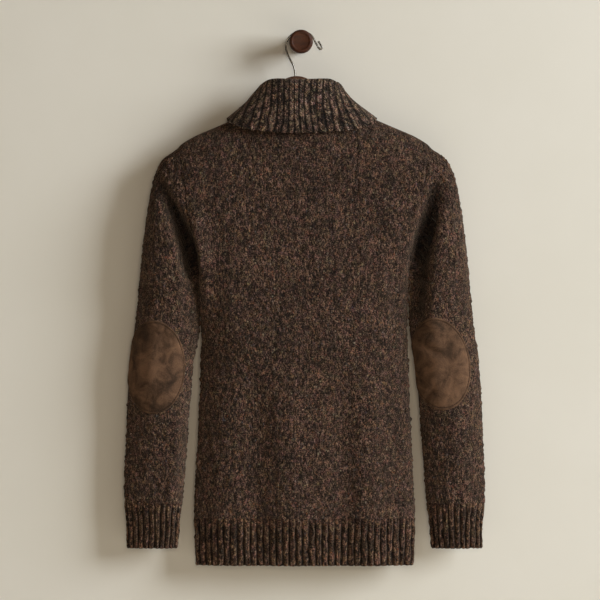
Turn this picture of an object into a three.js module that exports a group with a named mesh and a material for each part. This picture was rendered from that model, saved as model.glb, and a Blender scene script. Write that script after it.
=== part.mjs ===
// Wool pullover with suede elbow patches, on a wooden hanger that hangs from a round wall knob.
// Millimetres. +Z is up, +Y points into the wall, +X is to the right of someone facing the wall.
// The origin is the centre of the knob's flat back face, on the wall. The garment's back faces -Y.
//
// Every knitted piece is a thin wall. Its outer face is worked out from one depth rule, which says
// how far the cloth stands from the garment's middle plane at a given place across and up.

import * as THREE from 'three';
import { mergeVertices } from 'three/addons/utils/BufferGeometryUtils.js';

// ---------------------------------------------------------------- driving dimensions

const garmentX = 5.6;            // the garment hangs a little to the right of the knob
const seamGap = 0.3;             // between neighbouring pieces
const knitWall = 3;              // plain knit
const ribWall = 4;               // ribbed knit
const BACK = -1;                 // side of the middle plane, towards the viewer
const FRONT = 1;                 // side of the middle plane, towards the wall

// Heights
const neckSideZ = -113;          // shoulder seam meets the neckline
const neckBackZ = -137;          // centre back neckline
const neckFrontZ = -300;         // point of the front opening
const shoulderTipZ = -171;       // shoulder seam meets the armhole
const creaseTopZ = -205;         // where the armhole fold begins
const underarmZ = -389;
const hemRibTopZ = -762;
const hemZ = -837;
const cuffRibTopZ = -738;
const cuffZ = -810;

const neckHalfWidth = 88;

// Heights of the stitches that the panels and the sleeves share along the armhole
const armholeLevels = [
  shoulderTipZ, -176, -184, -195, -208, -224, -243, -265, -290, -317, -345, -369, underarmZ,
];

// Half widths, as [height, distance from the garment's centre line]
const outline = curveThrough([
  [-113, 88], [-128.5, 124], [-138, 146], [-150.5, 175], [-163, 196], [-171, 204], [-180, 216],
  [-190, 227.5], [-208, 238], [-225, 243], [-274, 251.5], [-325, 258.5], [-380, 264], [-430, 269],
  [-461, 272.5], [-505, 278.5], [-545, 282], [-595, 284.5], [-660, 287.5], [-717, 289], [-749, 288],
  [-768, 286], [-810, 285],
]);
const bodyEdge = curveThrough([
  [-389, 169], [-405, 166.5], [-430, 165], [-489, 165], [-523, 166.5], [-605, 169.5],
  [-670, 173], [-717, 175], [-774, 177.5], [-837, 176.5],
]);
const sleeveInner = curveThrough([
  [-389, 169.2], [-415, 168], [-455, 167.8], [-478, 170.5], [-500, 175.5], [-525, 179], [-600, 185],
  [-650, 188.5], [-690, 192], [-730, 194.5], [-755, 197], [-810, 201.5],
]);
const armholeSeam = curveThrough([
  [-171, 203], [-200, 196.5], [-240, 190.5], [-280, 184.5], [-320, 178.5], [-355, 173], [-389, 169],
]);
const armholeCrease = curveThrough([
  [-205, 228], [-232, 218], [-263, 207], [-294, 196], [-324, 186], [-355, 177], [-389, 169.1],
]);

// Depths, as [height, distance]
const middleY = curveThrough([[-50, -38], [-250, -38], [-400, -38], [-600, -36.5], [-837, -35]]);
const bodyDepth = {
  [BACK]: curveThrough([[-113, 34], [-200, 37], [-300, 38], [-389, 37], [-500, 35], [-650, 32], [-837, 26]]),
  [FRONT]: curveThrough([[-113, 20], [-200, 22], [-300, 24], [-389, 26], [-500, 27], [-650, 27], [-837, 24]]),
};
const sleeveDepth = {
  [BACK]: curveThrough([[-205, 37], [-389, 30], [-500, 27], [-600, 25], [-700, 21], [-749, 17], [-810, 14]]),
  [FRONT]: curveThrough([[-205, 22], [-389, 24], [-500, 23], [-600, 22], [-700, 18], [-749, 15], [-810, 13]]),
};
const edgePower = 2.2;           // roundness of every edge of the section
const yokeReach = curveThrough([[-113, 75], [-250, 62], [-389, 48], [-410, 48]]);
const bodyReach = curveThrough([[-205, 30], [-300, 48], [-389, 66], [-837, 60]]);
const creaseSoftness = 17;
const creaseGrowth = 1.45;       // how the fold deepens from its top to the underarm

// Hard pieces
const hangerX = -7;
const hangerWood = 13;
const hookY = -38;
const hookWire = 3.1;
const knobHead = 19;
const knobNeck = 15.4;
const knobFoot = 14.5;
const knobReach = 61;

// ---------------------------------------------------------------- small tools

/** A smooth function through [position, value] pairs whose positions fall. */
function curveThrough(pairs) {
  const last = pairs.length - 1;
  const slopes = pairs.map((pair, i) => {
    const before = pairs[Math.max(i - 1, 0)];
    const after = pairs[Math.min(i + 1, last)];
    return (after[1] - before[1]) / (after[0] - before[0]);
  });
  return (position) => {
    if (position >= pairs[0][0]) return pairs[0][1] + slopes[0] * (position - pairs[0][0]);
    if (position <= pairs[last][0]) return pairs[last][1] + slopes[last] * (position - pairs[last][0]);
    const i = pairs.findIndex((pair, index) => index < last && position > pairs[index + 1][0]);
    const span = pairs[i + 1][0] - pairs[i][0];
    const t = (position - pairs[i][0]) / span;
    const along = t * t * (3 - 2 * t);
    const leaving = t * (1 - t) * (1 - t) * span * slopes[i];
    const arriving = t * t * (t - 1) * span * slopes[i + 1];
    return pairs[i][1] * (1 - along) + pairs[i + 1][1] * along + leaving + arriving;
  };
}

const clamp = (value, low, high) => Math.min(Math.max(value, low), high);
const mix = (a, b, share) => a + (b - a) * share;
const ease = (t) => t * t * (3 - 2 * t);

/** Rises from 0 at an edge to 1 at the given reach from it, along a rounded quarter. */
function roundOff(distance, reach) {
  const t = clamp(distance / reach, 0, 1);
  return Math.pow(1 - Math.pow(1 - t, edgePower), 1 / edgePower);
}

// ---------------------------------------------------------------- the depth rule

/** Above the underarm, body and sleeve are one surface with a fold between them. */
function yokeDepth(across, z, face) {
  const crease = armholeCrease(z);
  const slope = outline(z + 0.5) - outline(z - 0.5);
  const fromOutline = (outline(z) - across) / Math.hypot(1, slope);
  const sleeveShare = ease(clamp((across - crease + 30) / 60, 0, 1));
  const full = mix(bodyDepth[face](z), sleeveDepth[face](z), sleeveShare);
  const fold = Math.pow(clamp((creaseTopZ - z) / (creaseTopZ - underarmZ), 0, 1), creaseGrowth);
  const fromCrease = Math.hypot(across - crease, creaseSoftness * (1 - fold));
  const reach = across < crease ? bodyReach(z) : mix(25, 48, fold);
  return full * roundOff(fromOutline, yokeReach(z)) * (1 - fold * (1 - roundOff(fromCrease, reach)));
}

/** Distance of the cloth's outer face from the middle plane. */
function clothDepth(piece, u, z, face) {
  const across = Math.abs(u);
  if (z > underarmZ) return yokeDepth(across, z, face);
  if (piece === 'body') return bodyDepth[face](z) * roundOff(bodyEdge(z) - across, bodyReach(z));
  const reach = (outline(z) - sleeveInner(z)) / 2;
  const outside = roundOff(outline(z) - across, reach);
  const inside = roundOff(across - sleeveInner(z), reach);
  return sleeveDepth[face](z) * outside * inside;
}

/** The outer point, the outward direction and the inner point at one spot of the cloth. */
function clothAt(piece, spot, wall = knitWall, raise = 0) {
  const { u, z, face } = spot;
  const step = 0.4;
  const depth = clothDepth(piece, u, z, face);
  const slopeU = (clothDepth(piece, u + step, z, face) - clothDepth(piece, u - step, z, face)) / (2 * step);
  const slopeZ = (clothDepth(piece, u, z + step, face) - clothDepth(piece, u, z - step, face)) / (2 * step);
  const lean = middleY(z + 0.5) - middleY(z - 0.5);
  const facing = Math.min(depth / 2, 1);
  const outward = new THREE.Vector3(-slopeU, face * facing, -slopeZ - face * facing * lean).normalize();
  const offset = face * Math.max(depth, seamGap / 2);
  const outer = new THREE.Vector3(garmentX + u, middleY(z) + offset, z).addScaledVector(outward, raise);
  const inner = outer.clone().addScaledVector(outward, -wall);
  const limit = middleY(z) + face * seamGap / 2;
  inner.y = face === BACK ? Math.min(inner.y, limit) : Math.max(inner.y, limit);
  return { outer, inner, outward };
}

/** Spots at even spacing over the cloth, along trace(w) with w from 0 to 1. */
function evenSpots(piece, trace, count) {
  const fine = 240;
  const lengths = [0];
  let previous = clothAt(piece, trace(0)).outer;
  for (let i = 1; i <= fine; i++) {
    const point = clothAt(piece, trace(i / fine)).outer;
    lengths.push(lengths[i - 1] + point.distanceTo(previous));
    previous = point;
  }
  const spots = [];
  for (let k = 0; k < count; k++) {
    const target = lengths[fine] * k / (count - 1);
    const i = clamp(lengths.filter((length) => length < target).length, 1, fine);
    const part = (target - lengths[i - 1]) / (lengths[i] - lengths[i - 1]);
    spots.push(trace((i - 1 + clamp(part, 0, 1)) / fine));
  }
  return spots;
}

// ---------------------------------------------------------------- walls from two grids of points

/** A closed wall between an outer and an inner grid. A ring joins its last column to its first. */
function wallBetween(outerRows, innerRows, ring = false) {
  const rows = outerRows.length;
  const columns = outerRows[0].length;
  const points = [...outerRows.flat(), ...innerRows.flat()];
  const outer = (row, column) => row * columns + (column % columns);
  const inner = (row, column) => rows * columns + outer(row, column);
  const faces = [];
  const quad = (a, b, c, d) => faces.push(a, b, c, a, c, d);
  const lastColumn = ring ? columns : columns - 1;
  for (let row = 0; row < rows - 1; row++) {
    for (let column = 0; column < lastColumn; column++) {
      const [below, beside] = [row + 1, column + 1];
      quad(outer(row, column), outer(below, column), outer(below, beside), outer(row, beside));
      quad(inner(row, column), inner(row, beside), inner(below, beside), inner(below, column));
    }
    if (!ring) {
      quad(outer(row, 0), inner(row, 0), inner(row + 1, 0), outer(row + 1, 0));
      const end = columns - 1;
      quad(outer(row, end), outer(row + 1, end), inner(row + 1, end), inner(row, end));
    }
  }
  for (let column = 0; column < lastColumn; column++) {
    const bottom = rows - 1;
    quad(outer(0, column), outer(0, column + 1), inner(0, column + 1), inner(0, column));
    quad(outer(bottom, column), inner(bottom, column), inner(bottom, column + 1), outer(bottom, column + 1));
  }
  return closedGeometry(points, faces);
}

/** A geometry from shared points, turned right side out. */
function closedGeometry(points, faces) {
  let volume = 0;
  for (let i = 0; i < faces.length; i += 3) {
    const [a, b, c] = [points[faces[i]], points[faces[i + 1]], points[faces[i + 2]]];
    volume += a.dot(b.clone().cross(c));
  }
  const turned = volume > 0 ? faces : faces.slice().reverse();
  const geometry = new THREE.BufferGeometry();
  geometry.setAttribute('position', new THREE.Float32BufferAttribute(points.flatMap((p) => p.toArray()), 3));
  geometry.setIndex(turned);
  return geometry;
}

/** A wall over rows of cloth spots. */
function clothWall(piece, spotRows, { wall = knitWall, raise = () => 0, ring = false } = {}) {
  const outerRows = [];
  const innerRows = [];
  spotRows.forEach((spots) => {
    const places = spots.map((spot, column) => clothAt(piece, spot, wall, raise(column)));
    outerRows.push(places.map((place) => place.outer));
    innerRows.push(places.map((place, column) => {
      const level = place.inner;
      if (spots[column].flat) level.z = place.outer.z;
      return level;
    }));
  });
  return wallBetween(outerRows, innerRows, ring);
}

// ---------------------------------------------------------------- back and front panels

const bodyColumns = 25;
const shoulderShare = 0.5;       // share of the top edge that the neckline takes

/** Back neckline, from the centre (0) to the shoulder seam (1). */
function backNeckline(share) {
  const angle = share * Math.PI / 2;
  const drop = neckSideZ - neckBackZ;
  return { u: neckHalfWidth * Math.sin(angle), z: neckSideZ - drop * Math.cos(angle) };
}

/** Front neckline, from the point of the opening (0) to the shoulder seam (1). */
function frontNeckline(share) {
  return { u: neckHalfWidth * share, z: mix(neckFrontZ, neckSideZ, Math.pow(share, 1.15)) };
}

/** Top edge of a panel, from the left shoulder tip (-1) to the right one (1). */
function panelTop(s, neckline) {
  const share = Math.abs(s);
  if (share < shoulderShare) {
    const { u, z } = neckline(share / shoulderShare);
    return { u: Math.sign(s) * u, z };
  }
  const z = mix(neckSideZ, shoulderTipZ, (share - shoulderShare) / (1 - shoulderShare));
  return { u: Math.sign(s) * outline(z), z };
}

function bodyRow(z, face, flat) {
  const edge = bodyEdge(z);
  const trace = (w) => ({ u: -edge * Math.cos(Math.PI * w), z, face, flat });
  return evenSpots('body', trace, bodyColumns);
}

/** Rows between the shoulders and the underarm, blended from their four edges. */
function yokeRows(face, neckline) {
  const bottom = bodyRow(underarmZ, face);
  return armholeLevels.slice(0, -1).map((sideZ) => {
    const down = (sideZ - shoulderTipZ) / (underarmZ - shoulderTipZ);
    const sideU = armholeSeam(sideZ) - seamGap / 2;
    const straightU = mix(panelTop(1, neckline).u, bottom[bodyColumns - 1].u, down);
    return bottom.map((foot, column) => {
      const s = -1 + 2 * column / (bodyColumns - 1);
      const top = panelTop(s, neckline);
      const u = mix(top.u, foot.u, down) + s * (sideU - straightU);
      return { u, z: mix(top.z, foot.z, down), face };
    });
  });
}

function panel(face, neckline) {
  const lowest = hemRibTopZ + seamGap / 2;
  const levels = [underarmZ, -420, -460, -510, -570, -630, -690, -730, lowest];
  const lowerRows = levels.map((z) => bodyRow(z, face, z === lowest));
  return clothWall('body', [...yokeRows(face, neckline), ...lowerRows]);
}

// ---------------------------------------------------------------- ribbed hem and cuffs

const ribRelief = 1.1;
const ribCrest = (column) => (column % 2 === 0 ? 0 : -ribRelief);

function hemRib(face) {
  const ribs = 31;
  const levels = [hemRibTopZ - seamGap / 2, mix(hemRibTopZ, hemZ, 0.5), hemZ];
  const rows = levels.map((z) => {
    const edge = bodyEdge(z);
    const trace = (w) => ({ u: -edge * Math.cos(Math.PI * w), z, face, flat: true });
    return evenSpots('body', trace, 2 * ribs + 1);
  });
  return clothWall('body', rows, { wall: ribWall, raise: ribCrest });
}

/** One turn around a sleeve, from its inner edge over the back and home over the front. */
function sleeveTurn(z, hand, flat) {
  const [inner, outer] = [sleeveInner(z), outline(z)];
  return (w) => {
    const u = mix(inner, outer, (1 - Math.cos(2 * Math.PI * w)) / 2);
    return { u: hand * u, z, face: w < 0.5 ? BACK : FRONT, flat };
  };
}

function cuff(hand) {
  const columns = 32;
  const levels = [cuffRibTopZ - seamGap / 2, mix(cuffRibTopZ, cuffZ, 0.5), cuffZ];
  const rows = levels.map((z) => {
    const turn = sleeveTurn(z, hand, true);
    return evenSpots('sleeve', turn, columns + 1).slice(0, columns);
  });
  return clothWall('sleeve', rows, { wall: ribWall, raise: ribCrest, ring: true });
}

// ---------------------------------------------------------------- sleeves

/** From the back armhole seam around the outside of the arm to the front armhole seam. */
function sleeveCapTrace(z, hand) {
  const inner = armholeSeam(z) + seamGap / 2;
  const outer = outline(z);
  return (w) => {
    const u = mix(inner, outer, Math.sin(Math.PI * w));
    return { u: hand * u, z, face: w < 0.5 ? BACK : FRONT };
  };
}

function sleeve(hand) {
  const columns = 17;
  const lowest = cuffRibTopZ + seamGap / 2;
  const capLevels = armholeLevels.slice(1, -1);
  const armLevels = [underarmZ, -420, -460, -500, -550, -600, -650, -695, lowest];
  const cap = capLevels.map((z) => evenSpots('sleeve', sleeveCapTrace(z, hand), columns));
  const arm = armLevels.map((z) => evenSpots('sleeve', sleeveTurn(z, hand, z === lowest), columns));
  return clothWall('sleeve', [...cap, ...arm]);
}

// ---------------------------------------------------------------- elbow patches

const patchHalfWidth = 52;       // measured over the cloth
const patchHalfHeight = 74.6;
const patchWall = 1.4;
const patchLift = 1.2;

/** The sleeve's spot at a distance over the cloth from a place on its back. */
function overSleeve(hand, z, startU, distance) {
  const turn = sleeveTurn(z, hand);
  const fine = 300;
  const pointAt = (i) => clothAt('sleeve', turn(i / fine)).outer;
  let i = 1;
  while (Math.abs(turn(i / fine).u) < startU) i++;
  let left = Math.abs(distance);
  const way = Math.sign(distance);
  let here = pointAt(i);
  while (left > 0) {
    const next = pointAt((i + way + fine) % fine);
    left -= next.distanceTo(here);
    here = next;
    i = (i + way + fine) % fine;
  }
  return turn(i / fine);
}

/** An oval over the sleeve's back, on a square grid drawn out to a round outline. */
function elbowPatch(hand, centreU, centreZ, tilt) {
  const [across, down] = [12, 14];
  const outerRows = [];
  const innerRows = [];
  for (let row = 0; row <= down; row++) {
    const q = 1 - 2 * row / down;
    const places = [];
    for (let column = 0; column <= across; column++) {
      const p = -1 + 2 * column / across;
      const wide = patchHalfWidth * p * Math.sqrt(1 - q * q / 2);
      const high = patchHalfHeight * q * Math.sqrt(1 - p * p / 2);
      const sideways = wide * Math.cos(tilt) - high * Math.sin(tilt);
      const upwards = wide * Math.sin(tilt) + high * Math.cos(tilt);
      const spot = overSleeve(hand, centreZ + upwards, centreU, sideways);
      places.push(clothAt('sleeve', spot, 0));
    }
    const raised = (place, height) => place.outer.clone().addScaledVector(place.outward, height);
    outerRows.push(places.map((place) => raised(place, patchLift + patchWall)));
    innerRows.push(places.map((place) => raised(place, patchLift)));
  }
  return wallBetween(outerRows, innerRows);
}

// ---------------------------------------------------------------- shawl collar

const collarShift = -6;          // the collar has slipped a little to the left
const collarHalf = 310;          // length of one half, measured along the fold
const collarShoulder = 85;       // distance along the fold where it crosses the shoulder seam

// Places along one half of the collar, by distance along the fold from the centre back:
// [distance, u, y from the middle plane, z]
const foldLine = [
  [0, 0, -31, -62.5], [20, 20, -30.5, -62.2], [40, 39, -27, -61.5], [55, 51, -20, -63], [70, 59, -10, -67],
  [85, 63, 2, -74], [100, 61.5, 11, -86], [130, 54, 18, -113], [180, 42, 22, -159], [240, 25, 25, -217],
  [310, 6, 28, -281],
];
const looseEdge = [
  [0, 0, -45, -146], [20, 21, -45, -146], [40, 44, -44, -144.5], [55, 65, -42, -142.5], [70, 87, -38, -139.5],
  [85, 109, -28, -132], [100, 118, -12, -124.5], [114, 119.5, 5, -120.5], [130, 115, 17, -128],
  [180, 98, 29, -172], [240, 66, 32, -238], [310, 34, 32.5, -298],
];
// Share of the neckline that each place is sewn to: of the back one from its centre to the shoulder,
// and of the front one from the point of the opening to the shoulder
const backShare = curveThrough([[0, 0], [-20, 0.22], [-40, 0.45], [-55, 0.62], [-70, 0.8], [-85, 0.97]]);
const frontShare = curveThrough([
  [-85, 1], [-100, 0.97], [-130, 0.9], [-180, 0.68], [-240, 0.4], [-310, 0.1],
]);

function placeOn(line, along, hand) {
  const value = (index) => curveThrough(line.map((row) => [-row[0], row[index]]))(-along);
  const z = value(3);
  const shift = collarShift * (1 - ease(along / collarHalf));
  return new THREE.Vector3(garmentX + shift + hand * value(1), middleY(z) + value(2), z);
}

/** Where the collar is sewn on, in the middle of the panels' wall. */
function sewnEdge(along, hand) {
  const onBack = along <= collarShoulder;
  const spot = onBack ? backNeckline(backShare(-along)) : frontNeckline(frontShare(-along));
  const face = onBack ? BACK : FRONT;
  const { outer, outward } = clothAt('body', { u: hand * spot.u, z: spot.z, face });
  return outer.addScaledVector(outward, -knitWall / 2);
}

/** One section of the collar: up the stand, over the fold and down to the loose edge. */
function collarSection(along, hand) {
  const share = along / collarHalf;
  const sewn = sewnEdge(along, hand);
  const fold = placeOn(foldLine, along, hand);
  const loose = placeOn(looseEdge, along, hand);
  const up = fold.clone().sub(sewn.clone().add(loose).multiplyScalar(0.5)).normalize();
  const out = loose.clone().sub(sewn);
  out.addScaledVector(up, -out.dot(up)).normalize();
  const foldRadius = mix(5.5, 3.6, ease(share));
  const centre = fold.clone().addScaledVector(up, -foldRadius);
  const onFold = (angle) => centre.clone()
    .addScaledVector(out, -foldRadius * Math.cos(angle))
    .addScaledVector(up, foldRadius * Math.sin(angle));
  const standTop = onFold(0);
  const lift = mix(0.5, 2.8, ease(clamp(along / collarShoulder, 0, 1)));
  const base = sewn.clone().addScaledVector(standTop.clone().sub(sewn).normalize(), lift);
  const fallTop = onFold(Math.PI);
  const bulge = mix(5, 0.5, share);
  const onFall = (t) => fallTop.clone().lerp(loose, t).addScaledVector(out, bulge * Math.sin(Math.PI * t));
  const fall = [1 / 3, 2 / 3].map(onFall);
  const stand = base.clone().lerp(standTop, 0.5);
  return [base, stand, standTop, onFold(Math.PI / 4), fold, onFold(3 * Math.PI / 4), fallTop, ...fall, loose];
}

function collar() {
  const half = 22;
  const sections = [];
  for (let k = -half; k <= half; k++) {
    sections.push(collarSection(collarHalf * Math.abs(k) / half, Math.sign(k) || 1));
  }
  const direction = (list, i, pick) => pick(list[Math.min(i + 1, list.length - 1)]).clone()
    .sub(pick(list[Math.max(i - 1, 0)]));
  const shiftWall = (amount) => sections.map((section, k) => section.map((point, i) => {
    const along = direction(sections, k, (other) => other[i]);
    const down = direction(section, i, (other) => other);
    return point.clone().addScaledVector(along.cross(down).normalize(), amount);
  }));
  return wallBetween(shiftWall(ribWall / 2), shiftWall(-ribWall / 2));
}

// ---------------------------------------------------------------- hanger, hook and knob

/** A wishbone hanger: a raised neck and two arms that fall along the shoulders. */
function hanger() {
  const shape = new THREE.Shape();
  const halfOutline = [
    [[18, -54.4], [32, -66], [44, -86]], [[54, -104], [62, -127], [84, -137]],
    [[120, -152], [160, -165], [184, -183]], [[196, -192], [194, -205], [182, -204]],
    [[150, -192], [112, -175], [80, -160]], [[52, -146], [30, -118], [0, -114]],
  ];
  shape.moveTo(0, -54.4);
  halfOutline.forEach((curve) => shape.bezierCurveTo(...curve.flat()));
  const points = [[[0, -54.4]], ...halfOutline].flat();
  for (let i = points.length - 1; i > 0; i -= 3) {
    const [first, second, end] = [points[i - 1], points[i - 2], points[i - 3]];
    shape.bezierCurveTo(-first[0], first[1], -second[0], second[1], -end[0], end[1]);
  }
  const bevel = 2.5;
  const options = {
    depth: hangerWood - 2 * bevel, curveSegments: 6, bevelEnabled: true,
    bevelThickness: bevel, bevelSize: bevel, bevelOffset: -bevel, bevelSegments: 2,
  };
  const geometry = new THREE.ExtrudeGeometry(shape, options);
  geometry.rotateX(Math.PI / 2);
  geometry.translate(hangerX, hookY + hangerWood / 2 - bevel, 0);
  return shared(geometry);
}

/** The wire hook: up from the hanger, over the knob's neck, ending in a small curl. */
function hook() {
  const route = [
    [-9.4, -53.7], [-9.6, -48.6], [-12.2, -37.6], [-17.4, -27.8], [-22.6, -17], [-24.2, -8.8], [-23.5, -1.6],
    [-20.6, 5.6], [-15.4, 11.6], [-8.5, 16], [-0.5, 17.6], [8, 16.2], [15.4, 12], [19.4, 7], [22.7, 1],
    [26, -5], [28.4, -9.2], [31, -11.2], [33.3, -9.4], [32.8, -6.8], [30.4, -2.8], [27.8, 1.6],
  ];
  const path = new THREE.CatmullRomCurve3(route.map(([x, z]) => new THREE.Vector3(x, hookY, z)));
  const section = new THREE.Shape();
  section.absarc(0, 0, hookWire / 2, 0, 2 * Math.PI, false);
  const options = { steps: 76, curveSegments: 4, bevelEnabled: false, extrudePath: path };
  return shared(new THREE.ExtrudeGeometry(section, options));
}

/** A turned knob on the wall: base, waisted neck for the hook, and a rounded head. */
function knob() {
  const profile = [
    [0, 0], [knobFoot, 0], [knobFoot, 12], [knobNeck, 28], [knobNeck, 41], [16.6, 43.6], [18.4, 45.4],
    [knobHead, 48], [knobHead, 55], [18.2, 58.4], [16, 60.4], [12, knobReach], [0, knobReach],
  ];
  const geometry = new THREE.LatheGeometry(profile.map(([r, h]) => new THREE.Vector2(r, h)), 32);
  geometry.rotateX(Math.PI);
  return shared(geometry);
}

/** Merges the points that faces share, so that the shape is one closed skin. */
function shared(geometry) {
  geometry.deleteAttribute('normal');
  geometry.deleteAttribute('uv');
  return mergeVertices(geometry, 1e-3);
}

// ---------------------------------------------------------------- materials and assembly

const wool = new THREE.MeshStandardMaterial({ color: 0x3f2f26, roughness: 0.95, metalness: 0 });
const ribWool = new THREE.MeshStandardMaterial({ color: 0x44342b, roughness: 0.95, metalness: 0 });
const suede = new THREE.MeshStandardMaterial({ color: 0x5f4632, roughness: 0.85, metalness: 0 });
const wood = new THREE.MeshStandardMaterial({ color: 0x45281b, roughness: 0.4, metalness: 0 });
const steel = new THREE.MeshStandardMaterial({ color: 0x8d8c8a, roughness: 0.3, metalness: 1 });

const leftHand = -1;
const rightHand = 1;
const pieces = [
  ['back', panel(BACK, backNeckline), wool],
  ['front', panel(FRONT, frontNeckline), wool],
  ['hem_rib_back', hemRib(BACK), ribWool],
  ['hem_rib_front', hemRib(FRONT), ribWool],
  ['sleeve_left', sleeve(leftHand), wool],
  ['sleeve_right', sleeve(rightHand), wool],
  ['cuff_left', cuff(leftHand), ribWool],
  ['cuff_right', cuff(rightHand), ribWool],
  ['elbow_patch_left', elbowPatch(leftHand, 241, -520, 0), suede],
  ['elbow_patch_right', elbowPatch(rightHand, 214, -515, 0.12), suede],
  ['collar', collar(), ribWool],
  ['hanger', hanger(), wood],
  ['hook', hook(), steel],
  ['knob', knob(), wood],
];

const sweater = new THREE.Group();
for (const [name, geometry, material] of pieces) {
  const mesh = new THREE.Mesh(geometry, material);
  mesh.name = name;
  sweater.add(mesh);
}

export default sweater;
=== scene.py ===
"""Wool pullover with suede elbow patches, on a wooden hanger that hangs from a round wall knob.

Every knitted piece is a thin wall whose outer face follows one depth rule, with creases and folds
added to it. Sizes are in millimetres and become metres when a mesh is made. +Z is up, +Y points
into the wall, and the origin is the middle of the knob's flat back face.
"""

import logging
import math
from dataclasses import dataclass, field
from enum import Enum

import bpy
import numpy as np
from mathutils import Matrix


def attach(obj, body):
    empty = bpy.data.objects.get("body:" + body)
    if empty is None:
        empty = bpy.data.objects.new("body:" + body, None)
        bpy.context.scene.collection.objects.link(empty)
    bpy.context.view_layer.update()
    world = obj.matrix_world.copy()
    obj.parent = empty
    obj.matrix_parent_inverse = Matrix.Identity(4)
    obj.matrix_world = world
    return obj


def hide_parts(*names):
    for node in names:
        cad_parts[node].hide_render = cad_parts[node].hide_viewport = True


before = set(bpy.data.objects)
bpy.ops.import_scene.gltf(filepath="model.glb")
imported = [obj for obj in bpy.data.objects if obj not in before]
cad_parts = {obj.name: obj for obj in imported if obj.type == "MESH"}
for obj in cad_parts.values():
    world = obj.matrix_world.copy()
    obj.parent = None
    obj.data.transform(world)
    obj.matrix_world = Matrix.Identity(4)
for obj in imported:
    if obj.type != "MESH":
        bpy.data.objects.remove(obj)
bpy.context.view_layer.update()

# One millimetre in metres.
MM = 0.001
# Distance that neighbouring pieces keep from their seam, and cloth from the middle plane.
SEAM_GAP = 0.12
# Width of one rib on its chart, which the ribbed knits' stitches also follow.
RIB_PITCH = 10.0
# Share of the cloth's depth that folds may use, and the little room left where it has none.
ROOM_SHARE = 0.72
LEAST_ROOM = 0.02
log = logging.getLogger("pullover")


class Face(Enum):
    """Which side of the garment's middle plane a piece of cloth is on."""

    BACK = -1
    FRONT = 1


class Hand(Enum):
    """Which side of the centre line a piece is on, for someone facing the wall."""

    LEFT = -1
    RIGHT = 1


class Part(Enum):
    """The two tubes of cloth that separate below the underarm."""

    BODY = "body"
    SLEEVE = "sleeve"


# ---------------------------------------------------------------- small tools


def ease(t: np.ndarray | float) -> np.ndarray:
    """A smooth step from 0 to 1, flat at both ends."""
    t = np.clip(t, 0.0, 1.0)
    return t * t * (3.0 - 2.0 * t)


def mix(a: np.ndarray | float, b: np.ndarray | float, share: np.ndarray | float) -> np.ndarray:
    """The value that lies the given share of the way from a to b."""
    return a + (b - a) * share


def round_off(distance: np.ndarray, reach: np.ndarray | float, power: float = 2.2) -> np.ndarray:
    """Rise from 0 at an edge to 1 at the given reach from it, along a rounded quarter.

    Args:
        distance: Distances from the edge.
        reach: Distance at which the rise ends.
        power: Squareness of the quarter; 2 is a circle's.

    Returns:
        The share of the full value at each distance.
    """
    t = np.clip(distance / reach, 0.0, 1.0)
    return np.power(np.maximum(1.0 - np.power(1.0 - t, power), 0.0), 1.0 / power)


def arch(distance: np.ndarray, reach: np.ndarray, roundness: np.ndarray | float = 0.45) -> np.ndarray:
    """Rise from 0 at an edge to 1 at the given reach, with more slope half-way than a quarter round.

    Args:
        distance: Distances from the edge.
        reach: Distance at which the rise ends.
        roundness: Share of the quarter round in the rise; the rest is a parabola's.

    Returns:
        The share of the full value at each distance.
    """
    t = np.clip(distance / reach, 0.0, 1.0)
    return mix(1.0 - (1.0 - t) ** 2, round_off(distance, reach), roundness)


def unit(vectors: np.ndarray) -> np.ndarray:
    """The same directions at length 1."""
    return vectors / np.maximum(np.linalg.norm(vectors, axis=-1, keepdims=True), 1e-9)


def smooth_noise(rows: int, columns: int, blur: int, seed: int) -> np.ndarray:
    """A seeded field of soft bumps with a spread of 1.

    Args:
        rows: Number of rows of the grid.
        columns: Number of columns of the grid.
        blur: How many times neighbours are averaged.
        seed: Seed of the random draws.

    Returns:
        An array of rows by columns.
    """
    values = np.random.default_rng(seed).normal(size=(rows, columns))
    for _ in range(blur):
        padded = np.pad(values, 1, mode="edge")
        across = padded[1:-1, :-2] + 2 * padded[1:-1, 1:-1] + padded[1:-1, 2:]
        down = padded[:-2, 1:-1] + padded[2:, 1:-1]
        values = (across + down) / 6
    return values / max(float(values.std()), 1e-6)


@dataclass(frozen=True)
class Profile:
    """A smooth curve through (position, value) pairs, straight beyond both ends."""

    pairs: tuple[tuple[float, float], ...]

    def __call__(self, position: np.ndarray | float) -> np.ndarray:
        """Read the curve.

        Args:
            position: Where it is read.

        Returns:
            The curve's value at each position.
        """
        spots, values = np.array(sorted(self.pairs), float).T
        slopes = np.empty_like(values)
        slopes[1:-1] = (values[2:] - values[:-2]) / (spots[2:] - spots[:-2])
        slopes[0] = (values[1] - values[0]) / (spots[1] - spots[0])
        slopes[-1] = (values[-1] - values[-2]) / (spots[-1] - spots[-2])
        at = np.asarray(position, float)
        inside = np.clip(at, spots[0], spots[-1])
        i = np.clip(np.searchsorted(spots, inside) - 1, 0, len(spots) - 2)
        span = spots[i + 1] - spots[i]
        t = (inside - spots[i]) / span
        leaving = t * (1 - t) ** 2 * span * slopes[i]
        arriving = t * t * (t - 1) * span * slopes[i + 1]
        value = mix(values[i], values[i + 1], ease(t)) + leaving + arriving
        slope_beyond = np.where(at < spots[0], slopes[0], slopes[-1])
        return value + slope_beyond * (at - inside)


# ---------------------------------------------------------------- the garment's form


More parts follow.
